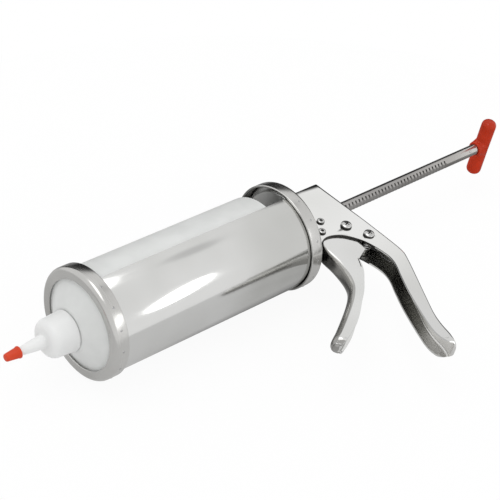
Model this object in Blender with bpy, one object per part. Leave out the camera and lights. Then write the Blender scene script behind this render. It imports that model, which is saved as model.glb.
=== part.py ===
"""Sauce dispensing gun: a half-round cradle between two ring caps holds a spouted tube, and a ratchet rod
pushed by a pistol-grip trigger empties it.

Frame: the origin is on the barrel axis, just inside the front ring's front face. +X runs back along the
barrel to the T-handle, +Y is the open side of the cradle, so the grip reaches to -Y, and +Z is the gun's left side, which is
up as the gun lies on its side. Sizes are in metres and angles in radians.
"""

import bmesh
import bpy
from math import acos, atan2, cos, hypot, pi, radians, sin, tau
from mathutils import Matrix, Vector

# Clearances
gap = 0.0003
slide_play = 0.0008
tube_play = 0.0007
pusher_play = 0.0014
merge_distance = 0.00001

# Barrel: two ring caps and the cradle between them
ring_sheet = 0.0016
ring_width = 0.0115
ring_bend = 0.003
ring_lead = 0.002
flange_share = 0.805
barrel_length = 0.193
cradle_sheet = 0.0008
round_steps = 96

# Tube, spout cap and tip
tube_radius = 0.0381
tube_wall = 0.0012
tube_face = 0.0015
tube_recess = 0.0004
tube_end_gap = 0.029
tube_shoulder_inset = 0.0012075
tube_shoulder_rise = 0.0105
neck_radius = 0.0095
neck_wall = 0.0015
neck_length = 0.0045
cap_radius = 0.0152
cap_shoulder_radius = 0.0137
cap_length = 0.0203
cap_shoulder = 0.0042
spout_base_radius = 0.0052
spout_end_radius = 0.0019
spout_length = 0.0266
spout_bore_radius = 0.001
tip_radius = 0.0043
tip_end_radius = 0.0027
tip_cover = 0.0075
tip_wall = 0.0036

# Ratchet rod and its T-handle
rod_radius = 0.0045
rod_roll = radians(-4)
tooth_pitch = 0.0037
tooth_depth = 0.0018
tooth_step = 0.0003
tooth_count = 44
tooth_start = 0.019
plain_end = 0.0445
rod_sides = 20
rod_pin_radius = 0.001
rod_pin_proud = 0.0005
rod_pin_from_end = 0.0165
rod_pin_turn = radians(45)
bar_radius = 0.0062
bar_half_length = 0.0275
bar_end_round = 0.0045
hub_radius = 0.0068
hub_length = 0.0095
hub_mouth_round = 0.0012
rod_into_bar = 0.0025

# Pusher disc on the rod's front end
pusher_thick = 0.0025
pusher_rest_gap = 0.002
washer_radius = 0.0075
washer_thick = 0.0012
end_screw_radius = 0.002
end_screw_head_radius = 0.004
end_screw_head = 0.0022
end_screw_reach = 0.012

# Guide bush in the rear cap
bush_radius = 0.006
bush_flange_radius = 0.009
bush_flange = 0.0012
bush_reach = 0.005

# Pressed frame with its handle. Outlines are offsets from the barrel axis, frame_inset inside the cap's back
frame_inset = 0.002
frame_half_width = 0.0093
frame_sheet = 0.0015
frame_bend = 0.0025
frame_back = [
    (0.0568, 0.0242), (0.0618, -0.0360), (0.0632, -0.0550), (0.0633, -0.0645), (0.0613, -0.0712),
    (0.0540, -0.0868), (0.0440, -0.1073), (0.0368, -0.1230), (0.0337, -0.1340), (0.0322, -0.1445),
    (0.0302, -0.1520), (0.0262, -0.1572),
]
frame_front = [
    (0.0250, -0.1490), (0.0236, -0.1400), (0.0250, -0.1270), (0.0290, -0.1140), (0.0345, -0.0985),
    (0.0412, -0.0840), (0.0460, -0.0745), (0.0480, -0.0680), (0.0482, -0.0620), (0.0465, -0.0530),
    (0.0430, -0.0430), (0.0380, -0.0355), (0.0325, -0.0298), (0.0260, -0.0262), (0.0190, -0.0250),
    (0.0130, -0.0268),
]
frame_chin = 0.033
handle_end_round = 0.007
foot_reach = 0.0100
foot_half_height = 0.018
foot_overlap = 0.0005
foot_rivet_y = 0.012
foot_rivet_share = 0.52
rivet_radius = 0.0015
rivet_head_radius = 0.0028
rivet_head = 0.0012

# Trigger: a channel open to the rear, on the pivot screw
pivot_at = (0.042, -0.023)
post_at = (0.051, -0.039)
hold_at = (0.020, -0.019)
stop_at = (0.027, -0.010)
trigger_sheet = 0.0015
trigger_bend = 0.003
trigger_front = [
    (0.0135, -0.0235), (0.0105, -0.0330), (0.0100, -0.0450), (0.0082, -0.0560), (0.0058, -0.0640),
    (0.0018, -0.0710), (-0.0050, -0.0775), (-0.0140, -0.0840), (-0.0260, -0.0915), (-0.0380, -0.0985),
    (-0.0455, -0.1022), (-0.0480, -0.1058),
]
trigger_rear = [
    (-0.0465, -0.1095), (-0.0415, -0.1105), (-0.0320, -0.1065), (-0.0220, -0.1015), (-0.0130, -0.0955),
    (-0.0030, -0.0875), (0.0060, -0.0805), (0.0140, -0.0725), (0.0200, -0.0650), (0.0225, -0.0590),
    (0.0262, -0.0520), (0.0390, -0.0480), (0.0395, -0.0400), (0.0440, -0.0300), (0.0480, -0.0230),
    (0.0490, -0.0120), (0.0480, -0.0078), (0.0370, -0.0078), (0.0300, -0.0150), (0.0250, -0.0225),
]
trigger_end_round = 0.0055
trigger_travel = radians(24)

# Screws, nuts and sleeves across the frame
screw_radius = 0.002
screw_head_radius = 0.0043
screw_head = 0.0022
screw_slot_depth = 0.0008
screw_slot_width = 0.0012
nut_radius = 0.004
nut_thick = 0.003
pivot_sleeve_radius = 0.0032
post_sleeve_radius = 0.0031
side_rivet_radius = 0.0016
side_rivet_head_radius = 0.003
side_rivet_head = 0.0014

# Pawls under the rod
pawl_half_width = 0.002
pawl_pin_radius = 0.0015
pawl_lift = 0.0108
pawl_gap = 0.0006
pawl_eye_radius = 0.0034
pawl_nose = 0.0017
drive_reach = 0.0090
hold_reach = 0.0067

# Springs
spring_wire = 0.0006
spring_mean_radius = 0.0042
spring_turns = 4
spring_half_length = 0.0036
spring_rear_leg = (0.057, -0.061)
spring_front_leg = (0.0405, -0.0445)
small_wire = 0.0003
small_mean_radius = 0.0024
small_turns = 3
small_length = 0.0022
small_leg = 0.0035
coil_steps = 14
wire_sides = 6

# Derived places
cradle_radius = tube_radius + tube_play + cradle_sheet
band_inside = cradle_radius + gap
ring_radius = band_inside + ring_sheet
tube_shoulder_radius = ring_radius * flange_share - tube_shoulder_inset
pusher_radius = tube_radius - tube_wall - pusher_play
front_face = -ring_lead
rear_face = front_face + barrel_length
frame_datum = rear_face - frame_inset
cup_inside = rear_face - ring_sheet
tube_front = front_face + ring_sheet + tube_recess
tube_rear = rear_face - tube_end_gap
frame_inside = frame_half_width - frame_sheet
trigger_half_width = frame_inside - gap
bush_front = cup_inside - gap - bush_flange
pusher_rear = bush_front - pusher_rest_gap
pusher_front = pusher_rear - pusher_thick
rod_front = pusher_rear + gap
teeth_from = frame_datum + tooth_start
teeth_to = teeth_from + tooth_count * tooth_pitch
bar_x = teeth_to + plain_end + rod_into_bar
rod_rear = bar_x - rod_into_bar
hub_front = bar_x - hub_length
half_travel = trigger_travel / 2
drive_at = (pivot_at[0] + pawl_lift * sin(half_travel), pivot_at[1] + pawl_lift * cos(half_travel))


def clear_scene():
    for obj in list(bpy.data.objects):
        bpy.data.objects.remove(obj, do_unlink=True)
    for mesh in list(bpy.data.meshes):
        bpy.data.meshes.remove(mesh)


def new_collection(name, shown):
    made = bpy.data.collections.new(name)
    bpy.context.scene.collection.children.link(made)
    made.hide_render = not shown
    return made


def new_material(name, colour, metallic, roughness):
    made = bpy.data.materials.new(name)
    made.use_nodes = True
    shader = made.node_tree.nodes["Principled BSDF"]
    shader.inputs["Base Color"].default_value = (*colour, 1)
    shader.inputs["Metallic"].default_value = metallic
    shader.inputs["Roughness"].default_value = roughness
    return made


clear_scene()
gun = new_collection("sauce_gun", True)
cutters = new_collection("cutters", False)
steel = new_material("polished_steel", (0.62, 0.62, 0.61), 1.0, 0.12)
zinc = new_material("zinc_steel", (0.55, 0.55, 0.55), 1.0, 0.3)
spring_steel = new_material("spring_steel", (0.4, 0.4, 0.4), 1.0, 0.3)
white_plastic = new_material("white_plastic", (0.8, 0.81, 0.8), 0.0, 0.4)
red_plastic = new_material("red_plastic", (0.6, 0.04, 0.02), 0.0, 0.35)


def solid(name, build, material=None):
    """A mesh object from a bmesh: a node when it has a material, otherwise a cutter."""
    bmesh.ops.recalc_face_normals(build, faces=build.faces)
    mesh = bpy.data.meshes.new(name)
    build.to_mesh(mesh)
    build.free()
    obj = bpy.data.objects.new(name, mesh)
    if material:
        mesh.materials.append(material)
        gun.objects.link(obj)
    else:
        cutters.objects.link(obj)
        obj.hide_render = True
        obj.display_type = "WIRE"
    return obj


def axes_of(axis):
    """Matrix whose local +Z is the given axis."""
    return Vector(axis).to_track_quat("Z", "Y").to_matrix().to_4x4()


def turned(name, profile, material=None, at=(0, 0, 0), axis=(1, 0, 0), steps=48):
    """Body of revolution from (height, radius) points. A profile that never meets the axis is closed on itself."""
    build = bmesh.new()
    place = Matrix.Translation(at) @ axes_of(axis)
    rings = []
    for height, radius in profile:
        if radius == 0:
            rings.append([build.verts.new(place @ Vector((0, 0, height)))])
            continue
        angles = [tau * i / steps for i in range(steps)]
        rings.append([build.verts.new(place @ Vector((radius * cos(a), radius * sin(a), height))) for a in angles])
    open_profile = profile[0][1] == 0 and profile[-1][1] == 0
    pairs = list(zip(rings, rings[1:]))
    if not open_profile:
        pairs.append((rings[-1], rings[0]))
    for low, high in pairs:
        for i in range(steps):
            j = (i + 1) % steps
            corners = [low[i % len(low)], low[j % len(low)], high[j % len(high)], high[i % len(high)]]
            corners = list(dict.fromkeys(corners))
            if len(corners) > 2:
                build.faces.new(corners)
    return solid(name, build, material)


def shaft(name, radius, start, end, at=(0, 0, 0), axis=(0, 0, 1), material=None, steps=24):
    return turned(name, [(start, 0), (start, radius), (end, radius), (end, 0)], material, at, axis, steps)


def prism_mesh(outline, low, high):
    build = bmesh.new()
    base = [build.verts.new((x, y, low)) for x, y in outline]
    top = [build.verts.new((x, y, high)) for x, y in outline]
    build.faces.new(base[::-1])
    build.faces.new(top)
    for i in range(len(outline)):
        j = (i + 1) % len(outline)
        build.faces.new([base[i], base[j], top[j], top[i]])
    return build, base, top


def prism(name, outline, low, high, material=None):
    return solid(name, prism_mesh(outline, low, high)[0], material)


def combine(obj, other, operation="DIFFERENCE"):
    """Applies an exact Boolean. A union consumes the other object."""
    modifier = obj.modifiers.new(operation.lower(), "BOOLEAN")
    modifier.operation = operation
    modifier.solver = "EXACT"
    modifier.object = other
    graph = bpy.context.evaluated_depsgraph_get()
    graph.update()
    mesh = bpy.data.meshes.new_from_object(obj.evaluated_get(graph))
    obj.modifiers.clear()
    old = obj.data
    obj.data = mesh
    bpy.data.meshes.remove(old)
    mesh.name = obj.name
    if operation == "UNION":
        bpy.data.objects.remove(other, do_unlink=True)


def from_frame(points):
    return [(frame_datum + x, y) for x, y in points]


def left_offset(path, distance):
    """The path moved sideways, to the right of its direction for a positive distance."""
    moved = []
    for i, point in enumerate(path):
        before = Vector(path[max(i - 1, 0)])
        after = Vector(path[min(i + 1, len(path) - 1)])
        along = (after - before).normalized()
        moved.append((point[0] + along.y * distance, point[1] - along.x * distance))
    return moved


def rounding_cutters(name, end, direction, half_width, radius, depth, steps=6):
    """Two cutters that round a flat end across the width. direction points out of the end, in the XY plane."""
    out = Vector((direction[0], direction[1], 0)).normalized()
    through = out.cross(Vector((0, 0, 1)))
    made = []
    for side in (-1, 1):
        outline = [(gap, half_width - radius), (gap, half_width + gap), (-radius, half_width + gap)]
        for i in range(steps + 1):
            a = (pi / 2) * i / steps
            outline.append((-radius + radius * sin(a), half_width - radius + radius * cos(a)))
        build = bmesh.new()
        rings = []
        for level in (-depth, depth):
            ring = []
            for u, w in outline:
                ring.append(build.verts.new(Vector(end) + out * u + Vector((0, 0, side * w)) + through * level))
            rings.append(ring)
        build.faces.new(rings[0])
        build.faces.new(rings[1][::-1])
        for i in range(len(outline)):
            j = (i + 1) % len(outline)
            build.faces.new([rings[0][i], rings[1][i], rings[1][j], rings[0][j]])
        made.append(solid(f"{name}_rounding", build))
    return made


def bent_prism(name, outline, bend_edges, half_width, bend, material):
    """A prism whose listed outline edges are rounded on both sides, as a pressed sheet's bends are."""
    build, base, top = prism_mesh(outline, -half_width, half_width)
    build.edges.ensure_lookup_table()
    chosen = []
    for ring in (base, top):
        for i in range(bend_edges):
            chosen.append(build.edges.get([ring[i], ring[i + 1]]))
    bmesh.ops.bevel(build, geom=chosen, offset=bend, segments=3, profile=0.5, affect="EDGES")
    bmesh.ops.remove_doubles(build, verts=build.verts, dist=merge_distance)
    bmesh.ops.dissolve_degenerate(build, edges=build.edges, dist=merge_distance)
    return solid(name, build, material)


def cap_profile(face, inward, inner_radius):
    """Ring cap from its outer face inward: inward is +1 or -1 along the barrel."""
    steps = 3
    profile = [(face, inner_radius)]
    inner_bend = ring_bend - ring_sheet
    for i in range(steps + 1):
        a = (pi / 2) * i / steps
        profile.append((face + inward * ring_bend * (1 - cos(a)), ring_radius - ring_bend * (1 - sin(a))))
    profile.append((face + inward * ring_width, ring_radius))
    profile.append((face + inward * ring_width, band_inside))
    for i in range(steps, -1, -1):
        a = (pi / 2) * i / steps
        height = face + inward * (ring_sheet + inner_bend * (1 - cos(a)))
        profile.append((height, band_inside - inner_bend * (1 - sin(a))))
    profile.append((face + inward * ring_sheet, inner_radius))
    return profile


# Barrel
turned("front_ring", cap_profile(front_face, 1, ring_radius * flange_share), steel, steps=round_steps)
rear_cap = turned("rear_cap", cap_profile(rear_face, -1, bush_radius + gap), steel, steps=round_steps)

cradle_build = bmesh.new()
cradle_rows = []
half_steps = round_steps // 2
for x in (front_face + ring_bend + gap, rear_face - ring_bend - gap):
    row = []
    for i in range(half_steps + 1):
        a = pi * i / half_steps
        row.append((x, -cradle_radius * sin(a), cradle_radius * cos(a)))
    for i in range(half_steps, -1, -1):
        a = pi * i / half_steps
        inner = cradle_radius - cradle_sheet
        row.append((x, -inner * sin(a), inner * cos(a)))
    cradle_rows.append([cradle_build.verts.new(point) for point in row])
near_row, far_row = cradle_rows
count = len(near_row)
for i in range(count):
    j = (i + 1) % count
    cradle_build.faces.new([near_row[i], near_row[j], far_row[j], far_row[i]])
for row in cradle_rows:
    for i in range(half_steps):
        cradle_build.faces.new([row[i], row[i + 1], row[count - 2 - i], row[count - 1 - i]])
solid("cradle_trough", cradle_build, steel)

# Tube with its spout cap and tip
shoulder_top = tube_front - tube_shoulder_rise
neck_front = shoulder_top - neck_length
inner_face = tube_front + tube_face
turned("sauce_tube", [
    (tube_rear, tube_radius), (tube_front + tube_wall, tube_radius), (tube_front, tube_radius - tube_wall),
    (tube_front, tube_shoulder_radius), (shoulder_top, cap_radius), (shoulder_top, neck_radius),
    (neck_front, neck_radius), (neck_front, neck_radius - neck_wall),
    (shoulder_top + tube_face, neck_radius - neck_wall), (shoulder_top + tube_face, cap_radius - tube_face),
    (inner_face, tube_shoulder_radius - tube_face), (inner_face, tube_radius - tube_wall),
    (tube_rear, tube_radius - tube_wall),
], white_plastic, steps=64)

cap_rear = shoulder_top - gap
cap_front = cap_rear - cap_length
spout_end = cap_front - spout_length
spout_foot = (spout_base_radius + cap_shoulder_radius) / 2
turned("spout_cap", [
    (cap_rear, cap_radius), (cap_front + 2 * cap_shoulder, (cap_radius + cap_shoulder_radius) / 2),
    (cap_front + cap_shoulder, cap_shoulder_radius), (cap_front + cap_shoulder / 3, spout_foot),
    (cap_front, spout_base_radius + gap), (cap_front - gap, spout_base_radius), (spout_end, spout_end_radius),
    (spout_end, spout_bore_radius), (neck_front - gap, spout_base_radius - neck_wall),
    (neck_front - gap, neck_radius + gap), (cap_rear, neck_radius + gap),
], white_plastic, steps=40)

spout_slope = (spout_base_radius - spout_end_radius) / (spout_length - gap)
tip_mouth = spout_end + tip_cover
tip_front = spout_end - tip_wall
turned("tip_cap", [
    (tip_front, 0), (tip_front, tip_end_radius - gap), (tip_front + gap, tip_end_radius),
    (tip_mouth - gap, tip_radius), (tip_mouth, tip_radius),
    (tip_mouth, spout_end_radius + gap + spout_slope * tip_cover),
    (spout_end - gap, spout_end_radius + gap), (spout_end - gap, 0),
], red_plastic, steps=32)

# Guide bush in the rear cap
turned("guide_bush", [
    (bush_front, rod_radius + gap), (bush_front, bush_flange_radius), (cup_inside - gap, bush_flange_radius),
    (cup_inside - gap, bush_radius), (rear_face + bush_reach, bush_radius),
    (rear_face + bush_reach, rod_radius + gap),
], zinc, steps=32)

# Pressed frame
back_path = from_frame(frame_back)
front_path = from_frame(frame_front)
inner_path = left_offset(back_path, frame_sheet)
frame_mouth = rear_face + gap
frame_top = frame_back[0][1]
plate_mouth = frame_mouth + foot_overlap
outline = back_path + front_path + [(plate_mouth, -frame_chin), (plate_mouth, frame_top)]
frame = bent_prism("frame_shell", outline, len(back_path) - 1, frame_half_width, frame_bend, steel)
handle_end = Vector((*back_path[-1], 0))
clear = frame_half_width
channel = [(inner_path[0][0], frame_top + clear)] + inner_path
channel += [(frame_mouth - clear, inner_path[-1][1] - gap), (frame_mouth - clear, frame_top + clear)]
combine(frame, prism("frame_channel", channel, -frame_inside, frame_inside))
for side in (-1, 1):
    z_in = side * (frame_half_width - foot_overlap)
    z_out = side * (frame_half_width + foot_reach)
    low, high = sorted((z_in, z_out))
    foot_back = frame_mouth + frame_sheet
    foot = [
        (frame_mouth, -foot_half_height), (foot_back, -foot_half_height), (foot_back, foot_half_height),
        (frame_mouth, foot_half_height),
    ]
    combine(frame, prism("frame_foot", foot, low, high, steel), "UNION")
for cutter in rounding_cutters(
    "handle", handle_end, (0, -1), frame_half_width, handle_end_round, frame_half_width
):
    combine(frame, cutter)
web_x = back_path[0][0]
combine(frame, shaft("rod_hole", rod_radius + slide_play, web_x - clear, web_x + clear, axis=(1, 0, 0)))
pivot = (frame_datum + pivot_at[0], pivot_at[1])
post = (frame_datum + post_at[0], post_at[1])
hold = (frame_datum + hold_at[0], hold_at[1])
stop = (frame_datum + stop_at[0], stop_at[1])
reach = frame_half_width + clear
for at, radius in ((pivot, screw_radius), (post, screw_radius), (hold, side_rivet_radius), (stop, side_rivet_radius)):
    combine(frame, shaft("cross_hole", radius + gap, -reach, reach, at=(*at, 0)))

# Rivets through the feet and the rear cap
rivet_z = frame_half_width + foot_reach * foot_rivet_share
number = 0
for y in (-foot_rivet_y, foot_rivet_y):
    for z in (-rivet_z, rivet_z):
        number += 1
        at = (0, y, z)
        hole = shaft("foot_hole", rivet_radius + gap, cup_inside - clear, rear_face + clear, at, (1, 0, 0))
        combine(frame, hole)
        combine(rear_cap, hole)
        head_front = cup_inside - gap
        head_rear = frame_mouth + frame_sheet + gap
        turned(f"foot_rivet_{number}", [
            (head_front - rivet_head, 0), (head_front - rivet_head, rivet_head_radius / 2),
            (head_front - rivet_head / 2, rivet_head_radius), (head_front, rivet_head_radius),
            (head_front, rivet_radius), (head_rear, rivet_radius), (head_rear, rivet_head_radius),
            (head_rear + rivet_head / 2, rivet_head_radius), (head_rear + rivet_head, rivet_head_radius / 2),
            (head_rear + rivet_head, 0),
        ], zinc, at, (1, 0, 0), 12)

# Cross screws with nuts and sleeves
seat = frame_half_width + gap
for name, at, sleeve_radius in (("pivot", pivot, pivot_sleeve_radius), ("post", post, post_sleeve_radius)):
    nut_low = -seat - nut_thick
    place = (*at, 0)
    screw = turned(f"{name}_screw", [
        (nut_low - gap, 0), (nut_low - gap, screw_radius), (seat, screw_radius), (seat, screw_head_radius),
        (seat + screw_head / 2, screw_head_radius * cos(radians(20))),
        (seat + screw_head, screw_head_radius / 2), (seat + screw_head, 0),
    ], zinc, place, (0, 0, 1), 24)
    for turn in (0, pi / 2):
        arm = screw_head_radius / 2
        slot = []
        for u, v in ((-arm, -screw_slot_width / 2), (arm, -screw_slot_width / 2),
                     (arm, screw_slot_width / 2), (-arm, screw_slot_width / 2)):
            slot.append((at[0] + u * cos(turn) - v * sin(turn), at[1] + u * sin(turn) + v * cos(turn)))
        combine(screw, prism("screw_slot", slot, seat + screw_head - screw_slot_depth, seat + screw_head + clear))
    turned(f"{name}_nut", [
        (nut_low, screw_radius + gap), (nut_low, nut_radius), (-seat, nut_radius), (-seat, screw_radius + gap),
    ], zinc, place, (0, 0, 1), 6)
    turned(f"{name}_sleeve", [
        (-trigger_half_width, screw_radius + gap), (-trigger_half_width, sleeve_radius),
        (trigger_half_width, sleeve_radius), (trigger_half_width, screw_radius + gap),
    ], zinc, place, (0, 0, 1), 24)

for name, at in (("hold_pawl_rivet", hold), ("stop_rivet", stop)):
    top_head = seat + side_rivet_head
    turned(name, [
        (-top_head, 0), (-top_head, side_rivet_head_radius / 2), (-seat - side_rivet_head / 2, side_rivet_head_radius),
        (-seat, side_rivet_head_radius), (-seat, side_rivet_radius), (seat, side_rivet_radius),
        (seat, side_rivet_head_radius), (seat + side_rivet_head / 2, side_rivet_head_radius),
        (top_head, side_rivet_head_radius / 2), (top_head, 0),
    ], zinc, (*at, 0), (0, 0, 1), 20)

# Trigger
face_path = from_frame(trigger_front)
open_path = from_frame(trigger_rear)
trigger = bent_prism(
    "trigger", face_path + open_path, len(face_path) - 1, trigger_half_width, trigger_bend, steel
)
face_inner = left_offset(face_path, -trigger_sheet)
trigger_tip = Vector((*face_path[-1], 0))
mouth = [(face_inner[0][0], face_inner[0][1] + clear)] + face_inner[:-1]
mouth += [(face_inner[-2][0] + clear, face_inner[-2][1] - 2 * clear), (pivot[0] + 3 * clear, trigger_tip.y)]
mouth += [(pivot[0] + 3 * clear, clear), (face_inner[0][0], clear)]
trigger_inside = trigger_half_width - trigger_sheet
combine(trigger, prism("trigger_channel", mouth, -trigger_inside, trigger_inside))
tip_way = Vector(face_path[-2]) - Vector(face_path[-4])
for cutter in rounding_cutters(
    "trigger", trigger_tip, tip_way, trigger_half_width, trigger_end_round, 2 * frame_half_width
):
    combine(trigger, cutter)
combine(trigger, shaft("trigger_eye", pivot_sleeve_radius + gap, -reach, reach, at=(*pivot, 0)))
drive = (frame_datum + drive_at[0], drive_at[1])
combine(trigger, shaft("pawl_eye", pawl_pin_radius + gap, -reach, reach, at=(*drive, 0)))

# Pawls, their pins and springs
def pawl(name, at, pin_radius, reach_x):
    """A flat pawl with its eye at the pin and its nose just under the rod, towards the nozzle."""
    nose_y = -rod_radius - pawl_gap
    nose_x = at[0] - reach_x
    nose = Vector((nose_x + pawl_nose / 2, nose_y)) - Vector(at)
    lean = atan2(nose.y, nose.x)
    spread = acos(pawl_eye_radius / hypot(nose.x, nose.y))
    points = [(nose_x + pawl_nose, nose_y), (nose_x, nose_y), (nose_x, nose_y - pawl_nose)]
    steps = 10
    first = lean + spread
    last = lean - spread + tau
    for i in range(steps + 1):
        a = first + (last - first) * i / steps
        points.append((at[0] + pawl_eye_radius * cos(a), at[1] + pawl_eye_radius * sin(a)))
    made = prism(name, points, -pawl_half_width, pawl_half_width, zinc)
    combine(made, shaft(f"{name}_hole", pin_radius + gap, -reach, reach, at=(*at, 0)))
    return made


def swept_wire(name, path, radius, material):
    """A round wire along a path of points, with flat ends."""
    build = bmesh.new()
    rings = []
    up = Vector((0, 0, 1))
    for i, point in enumerate(path):
        before = path[max(i - 1, 0)]
        after = path[min(i + 1, len(path) - 1)]
        along = (after - before).normalized()
        side = along.cross(up).normalized()
        other = side.cross(along)
        ring = []
        for k in range(wire_sides):
            a = tau * k / wire_sides
            ring.append(build.verts.new(point + side * radius * cos(a) + other * radius * sin(a)))
        rings.append(ring)
    for low, high in zip(rings, rings[1:]):
        for k in range(wire_sides):
            j = (k + 1) % wire_sides
            build.faces.new([low[k], low[j], high[j], high[k]])
    build.faces.new(rings[0][::-1])
    build.faces.new(rings[-1])
    return solid(name, build, material)


def torsion_spring(name, at, mean_radius, wire, turns, low, high, start_leg, end_leg):
    """A coil about a pin along Z with a straight leg from each end towards the named points."""
    centre = Vector((*at, 0))

    def tangent_angle(target, way):
        away = Vector(target) - Vector(at)
        return atan2(away.y, away.x) - way * acos(mean_radius / away.length)

    first = tangent_angle(start_leg, -1)
    last = tangent_angle(end_leg, 1)
    while last < first:
        last += tau
    sweep = last - first + tau * (turns - 1)
    count = int(turns * coil_steps)
    path = [Vector((*start_leg, low))]
    for i in range(count + 1):
        a = first + sweep * i / count
        height = low + (high - low) * i / count
        path.append(centre + Vector((mean_radius * cos(a), mean_radius * sin(a), height)))
    path.append(Vector((*end_leg, high)))
    return swept_wire(name, path, wire, spring_steel)


pawl("drive_pawl", drive, pawl_pin_radius, drive_reach)
pawl("hold_pawl", hold, side_rivet_radius, hold_reach)
shaft("drive_pawl_pin", pawl_pin_radius, -trigger_half_width, trigger_half_width, (*drive, 0), material=zinc)
rear_leg = (frame_datum + spring_rear_leg[0], spring_rear_leg[1])
front_leg = (frame_datum + spring_front_leg[0], spring_front_leg[1])
torsion_spring(
    "trigger_spring", post, spring_mean_radius, spring_wire, spring_turns, -spring_half_length,
    spring_half_length, rear_leg, front_leg
)
spring_low = pawl_half_width + gap + small_wire
for name, at in (("drive_pawl_spring", drive), ("hold_pawl_spring", hold)):
    torsion_spring(
        name, at, small_mean_radius, small_wire, small_turns, spring_low, spring_low + small_length,
        (at[0] - small_leg, at[1] + small_leg / 2), (at[0] + small_leg, at[1] - small_leg / 2)
    )

# Ratchet rod, built with its teeth towards -Y and then rolled
root = rod_radius - tooth_depth
corner = acos(root / rod_radius)
angles = [corner * (i - 3) / 3 for i in range(7)]
rest = rod_sides - len(angles)
angles += [corner + (tau - 2 * corner) * (i + 1) / (rest + 1) for i in range(rest)]
stations = [(rod_front, 0), (teeth_from - tooth_step, 0)]
for i in range(tooth_count):
    stations.append((teeth_from + i * tooth_pitch, tooth_depth))
    stations.append((teeth_from + (i + 1) * tooth_pitch - tooth_step, 0))
stations.append((rod_rear, 0))
rod_build = bmesh.new()
rod_rows = []
for x, depth in stations:
    row = []
    for a in angles:
        y = -rod_radius * cos(a)
        row.append(rod_build.verts.new((x, max(y, depth - rod_radius), rod_radius * sin(a))))
    rod_rows.append(row)
for low, high in zip(rod_rows, rod_rows[1:]):
    for i in range(rod_sides):
        j = (i + 1) % rod_sides
        rod_build.faces.new([low[i], low[j], high[j], high[i]])
rod_build.faces.new(rod_rows[0][::-1])
rod_build.faces.new(rod_rows[-1])
rod = solid("ratchet_rod", rod_build, steel)
combine(rod, shaft(
    "screw_bore", end_screw_radius + gap, rod_front - clear, rod_front + end_screw_reach + gap, axis=(1, 0, 0)
))
pin_way = (0, -sin(rod_pin_turn), cos(rod_pin_turn))
pin_x = rod_rear - rod_pin_from_end
combine(rod, shaft(
    "pin_bore", rod_pin_radius + gap, -clear, clear, (pin_x, 0, 0), pin_way
))
pin_half = rod_radius + rod_pin_proud
rod_pin = shaft("rod_pin", rod_pin_radius, -pin_half, pin_half, (pin_x, 0, 0), pin_way, zinc, 12)

# T-handle
bar_profile = [(-bar_half_length, 0)]
end_steps = 4
for i in range(end_steps + 1):
    a = (pi / 2) * i / end_steps
    bar_profile.append((-bar_half_length + bar_end_round * (1 - cos(a)), bar_radius - bar_end_round * (1 - sin(a))))
bar_profile += [(-height, radius) for height, radius in bar_profile[::-1]]
t_handle = turned("t_handle", bar_profile, red_plastic, (bar_x, 0, 0), (0, 0, 1), 32)
combine(t_handle, turned("t_handle_hub", [
    (hub_front, 0), (hub_front, hub_radius - hub_mouth_round), (hub_front + hub_mouth_round, hub_radius),
    (bar_x, hub_radius), (bar_x, 0),
], red_plastic, steps=32), "UNION")
combine(t_handle, shaft("hub_bore", rod_radius + gap, hub_front - clear, rod_rear + gap, axis=(1, 0, 0)))

# Pusher disc with its washer and screw
turned("pusher_disc", [
    (pusher_rear, end_screw_radius + gap), (pusher_rear, pusher_radius - gap), (pusher_rear - gap, pusher_radius),
    (pusher_front + gap, pusher_radius), (pusher_front, pusher_radius - gap),
    (pusher_front, end_screw_radius + gap),
], steel, steps=64)
washer_rear = pusher_front - gap
washer_front = washer_rear - washer_thick
washer = turned("pusher_washer", [
    (washer_rear, end_screw_radius + gap), (washer_rear, washer_radius), (washer_front, washer_radius),
    (washer_front, end_screw_radius + gap),
], zinc, steps=24)
head_rear = washer_front - gap
end_screw = turned("pusher_screw", [
    (head_rear - end_screw_head, 0), (head_rear - end_screw_head, end_screw_head_radius / 2),
    (head_rear - end_screw_head / 2, end_screw_head_radius), (head_rear, end_screw_head_radius),
    (head_rear, end_screw_radius), (rod_front + end_screw_reach, end_screw_radius),
    (rod_front + end_screw_reach, 0),
], zinc, steps=20)

roll = Matrix.Rotation(rod_roll, 4, "X")
for obj in (rod, rod_pin, t_handle):
    obj.data.transform(roll)


def put_origin(name, at):
    """Moves an object's origin to its joint without moving its shape."""
    obj = bpy.data.objects[name]
    obj.data.transform(Matrix.Translation(-Vector(at)))
    obj.location = at


put_origin("trigger", (*pivot, 0))
put_origin("drive_pawl", (*drive, 0))
put_origin("hold_pawl", (*hold, 0))
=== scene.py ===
"""Dresses the sauce gun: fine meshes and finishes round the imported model, with a studio and a camera.

Lengths are in metres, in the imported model's frame: X runs back along the barrel from 2 mm behind the front ring's
face, the cradle opens to +Y, the grip reaches to -Y, and +Z is the gun's left side, up as it lies on a table.
"""

import logging
from collections.abc import Callable
from dataclasses import dataclass, field
from enum import Enum
from functools import cached_property
from math import atan2, cos, hypot, pi, radians, sin, sqrt, tau

import bmesh
import bpy
from mathutils import Matrix, Vector


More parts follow.
